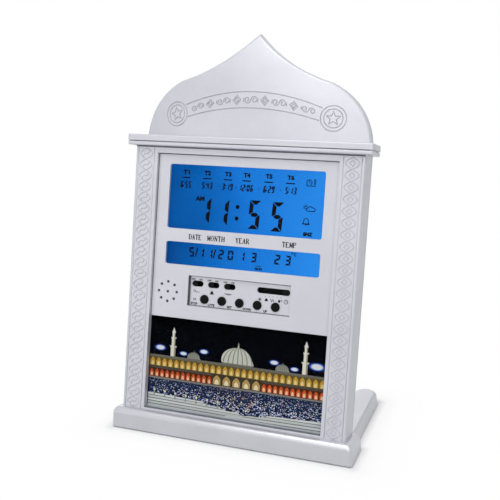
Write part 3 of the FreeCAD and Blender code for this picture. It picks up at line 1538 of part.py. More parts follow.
def write_parts():
    os.makedirs("parts", exist_ok=True)
    for part in SUB_PARTS:
        part.Shape.exportStep(f"parts/{part.Label}.step")
        solids = part.Shape.Solids
        print(f"{part.Label}: {len(solids)} solids, {part.Shape.Volume:.1f} mm3")


make_front_case()
make_rear_case()
make_battery_door()
make_front_panel()
make_display()
make_main_board()
make_control_board()
make_board_screws()
make_buttons()
make_slides()
make_speaker()
make_picture()
make_batteries()
make_dc_inlet()
make_stand()
make_feet()
make_screws()
check_document()
write_parts()
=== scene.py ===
"""The looks of the azan clock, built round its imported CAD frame. Sizes are in millimetres
and become metres where a piece is placed. In the leaning head, x runs right, y backwards
from the columns' faces and z up from the columns' feet."""
import json
import math
import random

import bmesh
import bpy
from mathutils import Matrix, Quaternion, Vector
from mathutils.geometry import tessellate_polygon


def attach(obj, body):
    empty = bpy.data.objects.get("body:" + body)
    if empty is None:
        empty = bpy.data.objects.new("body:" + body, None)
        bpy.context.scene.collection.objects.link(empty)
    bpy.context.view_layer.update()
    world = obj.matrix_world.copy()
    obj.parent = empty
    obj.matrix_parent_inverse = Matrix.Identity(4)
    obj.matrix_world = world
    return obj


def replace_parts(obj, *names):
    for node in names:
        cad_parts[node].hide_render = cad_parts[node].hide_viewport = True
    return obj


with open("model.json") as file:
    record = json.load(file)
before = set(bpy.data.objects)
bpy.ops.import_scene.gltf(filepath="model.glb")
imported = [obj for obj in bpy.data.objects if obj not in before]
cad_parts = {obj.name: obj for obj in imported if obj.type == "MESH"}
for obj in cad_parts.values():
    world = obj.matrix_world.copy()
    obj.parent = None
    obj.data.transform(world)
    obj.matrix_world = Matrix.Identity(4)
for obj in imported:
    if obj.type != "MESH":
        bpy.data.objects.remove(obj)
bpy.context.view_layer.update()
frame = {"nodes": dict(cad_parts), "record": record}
NODES = frame["nodes"]
SCENE = bpy.context.scene

MM = 0.001
LEAN = math.radians(9.6)
FEET_OF_COLUMNS = Vector((0, -56.0, 16.7))
INTO = Vector((0, math.cos(LEAN), -math.sin(LEAN)))
UPWARD = Vector((0, math.sin(LEAN), math.cos(LEAN)))

# depths, heights and places on the head, as in the CAD source
PANEL_FACE = 3.0
WINDOW_FACE = 5.0
RECESS_FLOOR = 5.7
CARD_FACE = 6.2
GLASS_FACE = 6.5
SCREW_SEAT = 21.5
DOOR_FACE = 24.5
CORNICE_NECK = -3.6
CARD_HALF, CARD_LOW, CARD_HIGH, CARD_BACK = 74.0, 1.3, 78.3, 6.8
VIEW_HALF, VIEW_LOW, VIEW_HIGH = 71.5, 1.3, 74.3
COLUMN_X, COLUMN_TOP = 81.0, 204.2
HOLES_X, HOLES_Z, HOLES_RING = -57.9, 94.2, 7.6
# the crown's front is bowed in plan, and backwards above its bend
CROWN_FACE, PLAN_RADIUS, BEND_HEIGHT, BEND_RADIUS = 4.0, 300.0, 235.0, 158.0

# print's thickness, its reach in front of the glass, a ridge's foot, painted shade past its width
INK = 0.03
INK_ON_GLASS = (0.01, 0.06)
RIDGE_FOOT = -0.1
GROOVE_SHADE_RIMS = 0.3


def head(x, y, z):
    """A point of the leaning head, in the metres of the row frame."""
    return (FEET_OF_COLUMNS + Vector((x, 0, 0)) + INTO * y + UPWARD * z) * MM


def crown_depth(x, z):
    """The depth of the crown's bowed front."""
    radius = PLAN_RADIUS
    if z >= BEND_HEIGHT:
        radius += math.sqrt(BEND_RADIUS ** 2 - (z - BEND_HEIGHT) ** 2) - BEND_RADIUS
    return PLAN_RADIUS + CROWN_FACE - math.sqrt(radius ** 2 - x ** 2)


# shapes on the head ---
def circle(x, z, radius, count=24, squash=1.0):
    angles = [2 * math.pi * i / count for i in range(count)]
    return [(x + radius * math.cos(a), z + radius * squash * math.sin(a)) for a in angles]


def box(x0, z0, x1, z1):
    return [(x0, z0), (x1, z0), (x1, z1), (x0, z1)]


def arc(x, z, radius, start, end, count):
    """Points of an arc, its angles in degrees."""
    steps = [math.radians(start + (end - start) * i / count) for i in range(count + 1)]
    return [(x + radius * math.cos(a), z + radius * math.sin(a)) for a in steps]


class Relief:
    """Prisms and strips that stand on one face of the head, gathered into one piece.

    Heights are measured forwards from that face. Flat shapes reach from low to high."""

    def __init__(self, depth, low=0.0, high=INK):
        self.depth = depth if callable(depth) else lambda x, z: depth
        self.low, self.high = low, high
        self.points, self.faces = [], []

    def add(self, points, faces):
        first = len(self.points)
        self.points += points
        self.faces += [tuple(first + i for i in face) for face in faces]

    def prism(self, loop):
        """A flat shape with upright sides."""
        n = len(loop)
        points = [(x, z, h) for h in (self.low, self.high) for x, z in loop]
        sides = [(i, (i + 1) % n, n + (i + 1) % n, n + i) for i in range(n)]
        self.add(points, [tuple(range(n))[::-1], tuple(range(n, 2 * n)), *sides])

    def strip(self, path, profile, closed=False):
        """Sweeps a profile of (across, height) points along a path."""
        n, m = len(path), len(profile)
        points = []
        for i, (x, z) in enumerate(path):
            before = Vector(path[i - 1] if closed or i else path[0])
            after = Vector(path[(i + 1) % n] if closed or i < n - 1 else path[-1])
            here = Vector((x, z))
            along = (after - before).normalized()
            step = (here - before) if (here - before).length > 1e-6 else (after - here)
            reach = 1 / max(0.5, step.normalized().dot(along))
            across = Vector((along.y, -along.x)) * reach
            points += [(x + across.x * s, z + across.y * s, h) for s, h in profile]
        rows = n if closed else n - 1
        faces = [(i * m + k, i * m + (k + 1) % m, (i + 1) % n * m + (k + 1) % m,
                  (i + 1) % n * m + k) for i in range(rows) for k in range(m)]
        if not closed:
            faces += [tuple(range(m))[::-1], tuple((n - 1) * m + k for k in range(m))]
        self.add(points, faces)

    def line(self, path, width, closed=False):
        half, low, high = width / 2, self.low, self.high
        self.strip(path, [(-half, low), (-half, high), (half, high), (half, low)], closed)

    def words(self, text, x0, z0, x1, z1, weight=0.05):
        """Lettering stretched to fill a box."""
        curve = bpy.data.curves.new("words", "FONT")
        curve.body = text
        curve.offset = weight
        curve.extrude = 0.5
        curve.resolution_u = 3
        carrier = add_object("words", curve)
        bpy.context.view_layer.update()
        mesh = bpy.data.meshes.new_from_object(
            carrier.evaluated_get(bpy.context.evaluated_depsgraph_get()))
        spots = [v.co.copy() for v in mesh.vertices]
        faces = [tuple(p.vertices) for p in mesh.polygons]
        bpy.data.objects.remove(carrier)
        bpy.data.curves.remove(curve)
        bpy.data.meshes.remove(mesh)
        left, right = min(p.x for p in spots), max(p.x for p in spots)
        under, over = min(p.y for p in spots), max(p.y for p in spots)
        wide, tall = (x1 - x0) / (right - left), (z1 - z0) / (over - under)
        self.add([(x0 + (p.x - left) * wide, z0 + (p.y - under) * tall,
                   self.high if p.z > 0 else self.low) for p in spots], faces)

    def piece(self, name, material, slot="silver_case", **more):
        spots = [head(x, self.depth(x, z) - h, z) for x, z, h in self.points]
        make_piece(name, spots, self.faces, material, slot, **more)


class Carving(Relief):
    """Rounded raised lines, with flat dark strips beside them as a second piece: painted shade
    that makes each line read as if cut into the surface.
    """

    def __init__(self, depth):
        super().__init__(depth)
        self.painted_groove_shade = Relief(depth, low=RIDGE_FOOT)

    def carve(self, path, width, height, closed=False):
        half, shoulder, rise = width / 2, width * 0.36, height * 0.62
        self.strip(path, [(-half, RIDGE_FOOT), (-shoulder, rise), (0, height),
                          (shoulder, rise), (half, RIDGE_FOOT)], closed)
        self.painted_groove_shade.line(path, width + GROOVE_SHADE_RIMS, closed)

    def pieces(self, place, shade):
        self.piece(place + "_ornament", FINISHES["silver_case"], smooth=True)
        self.painted_groove_shade.piece(place + "_grooves", shade)


def add_object(name, data):
    made = bpy.data.objects.new(name, data)
    SCENE.collection.objects.link(made)
    return made


def make_piece(name, points, faces, material, slot, body="clock", smooth=False):
    """A mesh piece that rides on a body."""
    mesh = bpy.data.meshes.new(name)
    mesh.from_pydata(points, [], faces)
    work = bmesh.new()
    work.from_mesh(mesh)
    bmesh.ops.recalc_face_normals(work, faces=work.faces)
    work.to_mesh(mesh)
    work.free()
    mesh.polygons.foreach_set("use_smooth", [smooth] * len(mesh.polygons))
    mesh.materials.append(material)
    made = add_object(name, mesh)
    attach(made, body)
    return made


# materials ---
def grey(tone):
    return (tone, tone, tone)


class Graph:
    """Adds nodes to a node tree."""

    def __init__(self, tree):
        self.tree = tree

    def feed(self, socket, value):
        """Gives a socket a value, or a link from another socket."""
        if isinstance(value, bpy.types.NodeSocket):
            self.tree.links.new(value, socket)
        else:
            socket.default_value = (*value, 1) if socket.type == "RGBA" else value

    def node(self, kind, inputs=(), **settings):
        made = self.tree.nodes.new("ShaderNode" + kind)
        for key, value in settings.items():
            setattr(made, key, value)
        for key, value in dict(inputs).items():
            self.feed(made.inputs[key], value)
        return made

    def ramp(self, value, *stops):
        made = self.node("ValToRGB", {"Fac": value})
        elements = made.color_ramp.elements
        while len(elements) < len(stops):
            elements.new(0.5)
        for element, (where, colour) in zip(elements, stops):
            element.position = where
            element.color = (*colour, 1)
        return made.outputs[0]

    def spread(self, value, low, high, start=0.3, end=0.7):
        """Maps start..end to low..high."""
        return self.node("MapRange", {"Value": value, "From Min": start, "From Max": end,
                                      "To Min": low, "To Max": high}).outputs[0]

    def mix(self, share, one, other, how):
        return self.node("Mix", {0: share, 6: one, 7: other}, data_type="RGBA",
                         blend_type=how).outputs[2]

    def maths(self, how, one, other):
        return self.node("Math", {0: one, 1: other}, operation=how).outputs[0]


class Finish(Graph):
    """A principled material with its own small node graph."""

    def __init__(self, name, **settings):
        self.material = bpy.data.materials.new(name)
        self.material.use_nodes = True
        super().__init__(self.material.node_tree)
        self.shader = self.tree.nodes["Principled BSDF"]
        self.place = self.node("TexCoord").outputs["Object"]
        for key, value in settings.items():
            self.put(key.replace("_", " "), value)

    def put(self, socket, value):
        self.feed(self.shader.inputs[socket], value)

    def noise(self, size, detail, stretch=None):
        """A noise whose features are about size mm across."""
        place = self.place
        if stretch:
            place = self.node("Mapping", {"Vector": place, "Scale": stretch}).outputs[0]
        return self.node("TexNoise", {"Vector": place, "Scale": 1 / (size * MM),
                                      "Detail": detail, "Roughness": 0.55}).outputs[0]

    def cells(self, size, output):
        return self.node("TexVoronoi", {"Vector": self.place,
                                        "Scale": 1 / (size * MM)}).outputs[output]

    def along(self, axis):
        return self.node("SeparateXYZ", {"Vector": self.place}).outputs[axis]

    def bump(self, height, distance, edge=0.0):
        """Raises the surface by up to distance mm, over edges eased by edge mm."""
        inputs = {"Height": height, "Distance": distance * MM, "Strength": 1.0}
        if edge:
            inputs["Normal"] = self.node("Bevel", {"Radius": edge * MM}, samples=4).outputs[0]
        self.put("Normal", self.node("Bump", inputs).outputs[0])


def moulded(name, colour, rough, grain=0.25, depth=0.01, cloud=25.0, vary=0.06, edge=0.0,
            **settings):
    """Moulded plastic or rubber: fine grain, soft clouds of tone, handled patches."""
    made = Finish(name, **settings)
    pale = tuple(min(1.0, c * (1 + vary)) for c in colour)
    deep = tuple(c * (1 - vary) for c in colour)
    made.put("Base Color", made.ramp(made.noise(cloud, 3), (0.3, deep), (0.7, pale)))
    made.put("Roughness", made.spread(made.noise(cloud * 0.4, 5), rough - 0.05, rough + 0.05))
    made.bump(made.noise(grain, 3), depth, edge=edge)
    return made.material


def silver_paint(name, colour, rough, grain, depth, metal=0.4, worn=0.05):
    """Silver lacquer on moulded plastic: flakes, faint flow marks and fine grain."""
    made = Finish(name, Metallic=metal, Specular_IOR_Level=0.35)
    deep = tuple(c * 0.93 for c in colour)
    base = made.ramp(made.noise(38, 3), (0.3, deep), (0.7, colour))
    flake = made.ramp(made.cells(0.22, "Color"), (0.15, (0.86, 0.86, 0.88)), (0.85, grey(1)))
    made.put("Base Color", made.mix(0.55, base, flake, "MULTIPLY"))
    made.put("Roughness", made.spread(made.noise(22, 3), rough - worn, rough + worn))
    made.bump(made.noise(grain, 2), depth, edge=0.35)
    return made.material


def lit_glass():
    """LCD glass lit from behind, brighter towards the lamp's end on the right."""
    made = Finish("lcd_blue", Roughness=0.3, Base_Color=(0.001, 0.02, 0.06),
                  Specular_IOR_Level=0.02)
    across = made.spread(made.along("X"), 0, 1, -0.066, 0.066)
    wander = made.maths("ADD", made.spread(made.noise(60, 2), -0.1, 0.1), across)
    glow = made.ramp(wander, (0.0, (0.0, 0.052, 0.25)), (0.25, (0.001, 0.115, 0.47)),
                     (0.5, (0.009, 0.20, 0.75)), (1.0, (0.026, 0.29, 0.93)))
    pixel = made.ramp(made.noise(0.8, 2), (0.35, grey(0.95)), (0.65, grey(1)))
    made.put("Emission Color", made.mix(1.0, glow, pixel, "MULTIPLY"))
    made.put("Emission Strength", 0.95)
    return made.material


def clear_plastic():
    made = Finish("clear_window", Base_Color=(0.01, 0.013, 0.016), IOR=1.49,
                  Alpha=0.06, Specular_IOR_Level=0.08)
    made.put("Roughness", made.spread(made.noise(9, 5), 0.0, 0.015))
    return made.material


def circuit_board():
    """Solder mask over copper tracks."""
    made = Finish("circuit_board", Roughness=0.35, Coat_Weight=0.3)
    bricks = made.node("TexBrick", {"Vector": made.place, "Scale": 170.0, "Mortar Size": 0.018,
                                    "Color1": (0.012, 0.10, 0.035),
                                    "Color2": (0.010, 0.085, 0.03),
                                    "Mortar": (0.03, 0.22, 0.07)})
    pads = made.ramp(made.cells(3.2, "Distance"), (0.09, (0.75, 0.62, 0.35)), (0.11, grey(0)))
    made.put("Base Color", made.mix(1.0, bricks.outputs["Color"], pads, "ADD"))
    made.bump(bricks.outputs["Fac"], 0.03)
    return made.material


def banded(name, axis, stops, **settings):
    """Bands of colour along an axis: stops are (mm, colour), each starting sharply."""
    made = Finish(name, **settings)
    low, high = stops[0][0], stops[-1][0] + 1
    value = made.spread(made.along(axis), 0, 1, low * MM, high * MM)
    colours = made.ramp(value, *(((mm - low) / (high - low), c) for mm, c in stops))
    colours.node.color_ramp.interpolation = "CONSTANT"
    wear = made.ramp(made.noise(5, 5), (0.3, grey(0.88)), (0.7, grey(1)))
    made.put("Base Color", made.mix(1.0, colours, wear, "MULTIPLY"))
    made.put("Roughness", made.spread(made.noise(3, 4), 0.25, 0.42))
    made.bump(made.noise(2.5, 2), 0.02)
    return made.material


def zebra():
    """Contact rubber: fine carbon lines across a pink strip."""
    made = Finish("zebra_rubber", Roughness=0.6)
    lines = made.node("TexWave", {"Vector": made.place, "Scale": 900.0, "Distortion": 0.4})
    made.put("Base Color", made.ramp(lines.outputs[0], (0.4, grey(0.03)),
                                     (0.6, (0.62, 0.36, 0.38))))
    made.bump(lines.outputs[0], 0.01)
    return made.material


def metal(name, colour, rough):
    """Bare metal with fine drawing marks and dull patches."""
    made = Finish(name, Metallic=1.0)
    marks = made.noise(0.6, 4, stretch=(1, 1, 12))
    dull = tuple(c * 0.8 for c in colour)
    made.put("Base Color", made.ramp(made.noise(4, 4), (0.3, dull), (0.65, colour)))
    made.put("Roughness", made.spread(marks, rough - 0.08, rough + 0.1))
    made.bump(marks, 0.01)
    return made.material


def painted_card():
    """Glossy print on card, its colours held by the mesh."""
    made = Finish("print", Specular_IOR_Level=0.0)
    paint = made.node("Attribute", attribute_name="Paint").outputs["Color"]
    dots = made.ramp(made.noise(0.35, 3), (0.3, (0.8, 0.8, 0.82)), (0.7, grey(1)))
    made.put("Base Color", made.mix(1.0, paint, dots, "MULTIPLY"))
    made.put("Roughness", made.spread(made.noise(6, 4), 0.25, 0.4))
    return made.material


def battery_jacket(side):
    """Steel ends, a dark sleeve and a copper band towards the nub, which points to side."""
    steel, dark, copper = grey(0.6), (0.02, 0.022, 0.025), (0.55, 0.25, 0.09)
    stops = [(-30, steel), (-21.8, dark), (9, copper), (25.9, steel), (28.5, steel)]
    if side < 0:
        stops = [(-30, steel), (-25.9, copper), (-9, dark), (21.8, steel), (28.5, steel)]
    return banded(f"cell_jacket_{side}", "X", stops, Metallic=0.6)


FINISHES = {
    "silver_case": silver_paint("silver_case", (0.66, 0.665, 0.71), 0.42, 0.30, 0.006, metal=0.3),
    "silver_back": silver_paint("silver_back", (0.58, 0.585, 0.62), 0.50, 0.55, 0.03),
    "silver_stand": silver_paint("silver_stand", (0.63, 0.63, 0.67), 0.30, 0.35, 0.004,
                                 metal=0.45, worn=0.02),
    "clear_lens": clear_plastic(),
    "lcd_glass": lit_glass(),
    "light_guide": moulded("light_guide", (0.82, 0.86, 0.9), 0.3, Subsurface_Weight=0.2),
    "holder_plastic": moulded("holder_plastic", (0.78, 0.77, 0.73), 0.5),
    "zebra_rubber": zebra(),
    "circuit_board": circuit_board(),
    "black_epoxy": moulded("black_epoxy", (0.012, 0.012, 0.014), 0.28, 1.2, 0.05, 4),
    "screw_steel": metal("screw_steel", (0.55, 0.55, 0.57), 0.32),
    "button_black": moulded("button_black", (0.002, 0.002, 0.0025), 0.4, 0.3, 0.012, 5,
                            edge=0.2, Specular_IOR_Level=0.1),
    "plunger_plastic": moulded("plunger_plastic", (0.03, 0.03, 0.032), 0.5),
    "switch_plastic": moulded("switch_plastic", (0.002, 0.002, 0.0025), 0.55, 0.3, 0.01, 5,
                              Specular_IOR_Level=0.1),
    "knob_black": moulded("knob_black", (0.003, 0.003, 0.0035), 0.4, 0.3, 0.012, 5,
                          edge=0.15, Specular_IOR_Level=0.12),
    "speaker_metal": metal("speaker_metal", grey(0.5), 0.4),
    "speaker_paper": moulded("speaker_paper", (0.035, 0.033, 0.03), 0.85, 0.9, 0.12, 3, 0.2),
    "speaker_magnet": moulded("speaker_magnet", (0.05, 0.05, 0.055), 0.6, 0.5, 0.05, 4, 0.2),
    "picture_print": painted_card(),
    "contact_metal": metal("contact_metal", (0.72, 0.70, 0.66), 0.25),
    "inlet_plastic": moulded("inlet_plastic", (0.014, 0.014, 0.015), 0.4, 0.4, 0.02, 5),
    "foot_rubber": moulded("foot_rubber", (0.035, 0.035, 0.037), 0.75, 0.5, 0.05, 6, 0.15),
}
# dark silver for painted shadow lines, and darker and paler silver for painted shade beside
# raised lines
SHADE_SILVER = silver_paint("shade_silver", (0.16, 0.165, 0.18), 0.5, 0.3, 0.006)
GROOVE_SHADE_SILVER = silver_paint("groove_shade_silver", (0.26, 0.26, 0.29), 0.55, 0.3, 0.006)
PALE_GROOVE_SHADE = silver_paint("pale_groove_shade", (0.52, 0.525, 0.56), 0.55, 0.3, 0.006)


def dress_nodes():
    """Gives every CAD node the finish of its slot; the middle cell points the other way."""
    jackets = {side: battery_jacket(side) for side in (1, -1)}
    for part in frame["record"]["subparts"]:
        name, slot = part["node"], part["material_slot"]
        mesh = NODES[name].data
        mesh.materials.clear()
        mesh.materials.append(jackets[-1 if name == "battery_2" else 1]
                              if slot == "cell_jacket" else FINISHES[slot])


# display ---
# segment a is the top one, b to f follow clockwise and g is the middle one
SEGMENTS = {"0": "abcdef", "1": "bc", "2": "abged", "3": "abgcd", "4": "fgbc", "5": "afgcd",
            "6": "afgedc", "9": "abcdfg"}


def digit(relief, text, x, z, wide, tall, thick, slant):
    """A seven-segment digit whose lower left corner is at (x, z)."""
    gap = thick * 0.12
    half, t = tall / 2, thick
    shapes = {
        "a": [(gap, tall), (wide - gap, tall), (wide - t - gap, tall - t), (t + gap, tall - t)],
        "d": [(gap, 0), (t + gap, t), (wide - t - gap, t), (wide - gap, 0)],
        "g": [(gap + t * 0.3, half), (t, half + t / 2), (wide - t, half + t / 2),
              (wide - gap - t * 0.3, half), (wide - t, half - t / 2), (t, half - t / 2)],
        "f": [(0, half + gap), (t * 0.35, half + gap), (t, half + t / 2 + gap),
              (t, tall - t - gap), (0, tall - gap)],
    }
    shapes["b"] = [(wide - px, pz) for px, pz in shapes["f"]]
    shapes["e"] = [(px, tall - pz) for px, pz in shapes["f"]]
    shapes["c"] = [(wide - px, tall - pz) for px, pz in shapes["f"]]
    for key in SEGMENTS[text]:
        relief.prism([(x + px + pz * slant, z + pz) for px, pz in shapes[key]])


def small_time(relief, text, x0, x1, z0, z1):
    """A time in small digits, right-aligned in its box, with a dot at the box's left."""
    wide, tall, thick, slant, dot = 2.3, z1 - z0, 1.1, 0.12, 0.42
    pitch, colon_pitch = 2.75, 0.9
    x = x1 - wide - 0.4
    for char in reversed(text):
        if char == ":":
            for share in (0.3, 0.68):
                relief.prism(circle(x + 1.8 + tall * share * slant, z0 + tall * share, dot, 8))
            x -= colon_pitch
        else:
            digit(relief, char, x, z0, wide, tall, thick, slant)
            x -= pitch
    relief.prism(circle(x0 - 0.5, z0 + tall * 0.5, dot, 8))


def make_display():
    """The dark segments, words and pictograms of both displays."""
    ink = Relief(GLASS_FACE, *INK_ON_GLASS)
    columns = [("6:55", -55.8, -44.9), ("5:43", -38.4, -27.3), ("3:19", -21.4, -10.7),
               ("12:06", -7.5, 5.6), ("6:29", 10.6, 22.4), ("5:13", 27.3, 39.4)]
    for number, (time, x0, x1) in enumerate(columns, 1):
        small_time(ink, time, x0, x1, 174.9, 180.0)
        middle = (x0 + x1) / 2 + 1
        ink.words(f"T{number}", middle - 2.7, 185.3, middle + 2.7, 188.8, 0.06)
        ink.line([(middle - 3.4, 182.8), (middle + 3.4, 182.8)], 0.9)
    ink.words("AM", -40.6, 165.5, -33.2, 169.3, 0.06)
    slant = 0.06
    for text, x, z, tall in (("1", -37.4, 148.6, 20.0), ("1", -22.7, 148.2, 20.0),
                             ("5", 2.6, 147.2, 21.5), ("5", 20.6, 146.7, 21.8)):
        digit(ink, text, x, z, 8.9, tall, 3.1, slant)
    for z in (154.2, 162.9):
        ink.prism(circle(-6.05 + (z - 158) * 0.03, z, 1.6, 20))

    # a bell that rings, a cloud with the sun, a bell and SNZ
    ink.line(arc(48.6, 184.3, 2.0, -60, 240, 14), 0.6)
    ink.line([(48.6, 184.3), (48.6, 185.6)], 0.5)
    ink.line([(48.6, 184.3), (49.6, 183.9)], 0.5)
    for radius in (2.9, 3.8):
        ink.line(arc(49.6, 184.6, radius, -35, 40, 6), 0.5)
    ink.line([(46.1, 181.8), (53.6, 181.8)], 0.6)
    cloud = (arc(48.8, 164.4, 1.1, 230, 100, 5) + arc(50.6, 165.4, 1.5, 150, 40, 5)
             + arc(53.0, 164.6, 1.3, 80, -70, 6))
    ink.line(cloud + [cloud[0]], 0.6)
    ink.line(arc(47.2, 166.0, 1.0, 0, 330, 10), 0.5)
    for turn in range(4):
        angle = math.radians(60 + 45 * turn)
        ink.line([(47.2 + math.cos(angle) * r, 166.0 + math.sin(angle) * r)
                  for r in (1.5, 2.3)], 0.45)
    bell = [(45.2, 154.0), (46.2, 155.0), *arc(48.0, 156.4, 1.7, 170, 10, 7),
            (49.8, 155.0), (50.7, 154.0)]
    ink.line(bell + [bell[0]], 0.6)
    ink.prism(circle(48.0, 153.4, 0.55, 10))
    ink.words("SNZ", 46.4, 145.0, 53.7, 148.0, 0.08)

    # the date, the temperature and the day
    for text, x in (("5", -43.6), ("1", -35.6), ("1", -28.7), ("2", -19.4), ("0", -11.6),
                    ("1", -2.5), ("3", 7.0), ("2", 25.6), ("3", 33.8)):
        digit(ink, text, x, 122.4, 4.4, 7.3, 1.45, slant)
    for x in (-38.0, -23.2):
        ink.line([(x, 122.6), (x + 1.7, 129.6)], 1.0)
    ink.line(arc(39.4, 131.6, 0.6, 0, 330, 10), 0.45)
    ink.words("C", 40.6, 129.6, 42.4, 132.2)
    ink.line([(11.5, 119.8), (15.6, 120.0)], 0.5)
    ink.words("MON", 10.9, 116.7, 16.4, 118.8, 0.06)
    black = moulded("segment_black", (0.004, 0.005, 0.009), 0.6, Specular_IOR_Level=0.05)
    ink.piece("display_segments", black, "lcd_glass")


# printing on the panel ---
# A narrow serif alphabet: thick strokes, thin strokes and serifs, in a box 6 wide and 10 high.
SERIF_WIDE, SERIF_TALL = 6, 10
STEM = [(1.2, 0), (1.2, 10)]
RIGHT_STEM = [(4.8, 0), (4.8, 10)]
SERIF = {
    "A": ([[(4.6, 0), (2.9, 10)]], [[(1.0, 0), (2.9, 10)], [(1.7, 3.4), (4.0, 3.4)]],
          [(1.0, 0), (4.6, 0)]),
    "D": ([STEM, [(4.9, 3.2), (4.9, 6.8)]],
          [[(1.2, 0), (3.2, 0), (4.5, 1.0), (4.9, 3.2)],
           [(4.9, 6.8), (4.5, 9), (3.2, 10), (1.2, 10)]], [(1.0, 0), (1.0, 10)]),
    "E": ([STEM], [[(1.2, 10), (4.8, 10), (4.8, 8.2)], [(1.2, 5.2), (3.6, 5.2)],
                   [(1.2, 0), (4.9, 0), (4.9, 1.9)]], [(1.0, 0), (1.0, 10)]),
    "H": ([STEM, RIGHT_STEM], [[(1.2, 5.1), (4.8, 5.1)]], STEM + RIGHT_STEM),
    "M": ([[(5.0, 0), (5.0, 10)], [(1.2, 10), (3.0, 1.2)]],
          [[(1.0, 0), (1.0, 10)], [(3.0, 1.2), (5.0, 10)]], [(1.0, 0), (5.0, 0)]),
    "N": ([[(1.2, 10), (4.7, 0)]], [STEM, RIGHT_STEM], [*STEM, (4.8, 10)]),
    "O": ([[(1.1, 3.2), (1.1, 6.8)], [(4.9, 3.2), (4.9, 6.8)]],
          [[(1.1, 6.8), (1.7, 9.3), (3.0, 10), (4.3, 9.3), (4.9, 6.8)],
           [(1.1, 3.2), (1.7, 0.7), (3.0, 0), (4.3, 0.7), (4.9, 3.2)]], []),
    "P": ([STEM, [(4.7, 6.6), (4.7, 8.4)]],
          [[(1.2, 10), (3.4, 10), (4.7, 8.4)], [(1.2, 5.0), (3.4, 5.0), (4.7, 6.6)]], STEM),
    "R": ([STEM, [(4.5, 6.8), (4.5, 8.4)], [(3.0, 5.0), (4.9, 0)]],
          [[(1.2, 10), (3.4, 10), (4.5, 8.4)], [(1.2, 5.0), (3.2, 5.0), (4.5, 6.8)]],
          [*STEM, (4.9, 0)]),
    "T": ([[(3.0, 0), (3.0, 10)]], [[(0.9, 8.2), (0.9, 10), (5.1, 10), (5.1, 8.2)]], [(3.0, 0)]),
    "Y": ([[(1.0, 10), (3.0, 4.8), (3.0, 0)]], [[(3.0, 4.8), (5.0, 10)]],
          [(1.0, 10), (5.0, 10), (3.0, 0)]),
}


def serif_word(relief, text, x0, x1, z0, z1):
    """A word whose letters share the box evenly."""
    pitch = (x1 - x0) / len(text)
    wide, tall = pitch / SERIF_WIDE, (z1 - z0) / SERIF_TALL
    for index, char in enumerate(text):
        left = x0 + index * pitch
        thick, thin, feet = SERIF[char]
        for paths, width in ((thick, 0.8), (thin, 0.42)):
            for path in paths:
                relief.line([(left + px * wide, z0 + pz * tall) for px, pz in path], width)
        for px, pz in feet:
            x, z = left + px * wide, z0 + pz * tall
            relief.line([(x - 0.5, z), (x + 0.5, z)], 0.3)


def make_panel_print():
    ink = Relief(PANEL_FACE)
    for text, x0, x1 in (("DATE", -42.9, -32.2), ("MONTH", -27.8, -13.2), ("YEAR", -4.8, 6.5),
                         ("TEMP", 31.9, 43.1)):
        serif_word(ink, text, x0, x1, 136.0, 139.7)
    black = moulded("ink", (0.008, 0.008, 0.009), 0.6, Specular_IOR_Level=0.1)
    ink.piece("panel_print", black)


def make_control_print():
    """Words and marks on the floor of the control recess."""
    ink = Relief(RECESS_FLOOR)
    fine = 0.42
    for x in (-34.1, -21.0, -7.9):
        ink.words("OFF", x - 5.4, 104.8, x - 2.2, 106.0)
        ink.words("ON", x + 1.0, 104.8, x + 3.6, 106.0)
    # sound waves, an alarm bell, a wide bar
    ink.line([(-37.4, 95.6), (-36.2, 96.9), (-35.0, 95.3), (-33.9, 96.6)], fine)
    ink.prism(circle(-37.0, 97.2, 0.4, 8))
    ink.prism(circle(-32.9, 95.6, 0.4, 8))
    ink.prism([(-23.6, 95.4), (-23.1, 97.0), (-22.1, 97.9), (-21.2, 97.0), (-20.8, 95.4)])
    ink.line([(-24.0, 95.1), (-20.4, 95.1)], fine)
    ink.line([(-12.0, 96.6), (-6.1, 96.6)], 0.5)
    ink.line([(-11.0, 95.9), (-7.1, 95.9)], 0.3)
    for text, x0, x1 in (("STOP", -39.2, -33.6), ("LITE", -24.9, -19.4), ("SET", -9.4, -5.2),
                         ("DOWN", 3.7, 10.2), ("UP", 19.9, 22.9)):
        ink.words(text, x0, 85.7, x1, 87.7)
    ink.line([(-37.3, 90.7), (-34.9, 89.3)], fine)
    ink.line([(-37.3, 89.3), (-34.9, 90.7)], fine)
    # places of the mode slide: a star, a bell, a wave, a flag and a clock
    for x in (20.9, 23.9, 27.1, 30.1, 33.1):
        ink.prism(circle(x, 98.1, 0.3, 8))
    for turn in range(3):
        angle = math.radians(60 * turn + 15)
        ink.line([(16.7 + s * 1.35 * math.cos(angle), 95.4 + s * 1.35 * math.sin(angle))
                  for s in (-1, 1)], fine)
    ink.prism([(20.4, 94.4), (20.9, 96.0), (21.8, 96.8), (22.7, 96.0), (23.2, 94.4)])
    ink.line([(25.0, 96.6), (26.0, 94.4), (26.9, 96.2), (27.8, 94.4)], 0.5)
    ink.prism([(30.8, 94.6), (31.4, 96.6), (33.0, 96.0), (32.4, 94.2)])
    ink.line([(33.4, 96.8), (34.1, 95.2)], fine)
    ink.line(circle(37.1, 95.4, 1.5, 18), fine, closed=True)
    ink.line([(37.1, 96.4), (37.1, 95.4), (37.9, 95.4)], 0.35)
    black = moulded("ink_fine", (0.01, 0.01, 0.011), 0.6, Specular_IOR_Level=0.1)
    ink.piece("control_print", black)


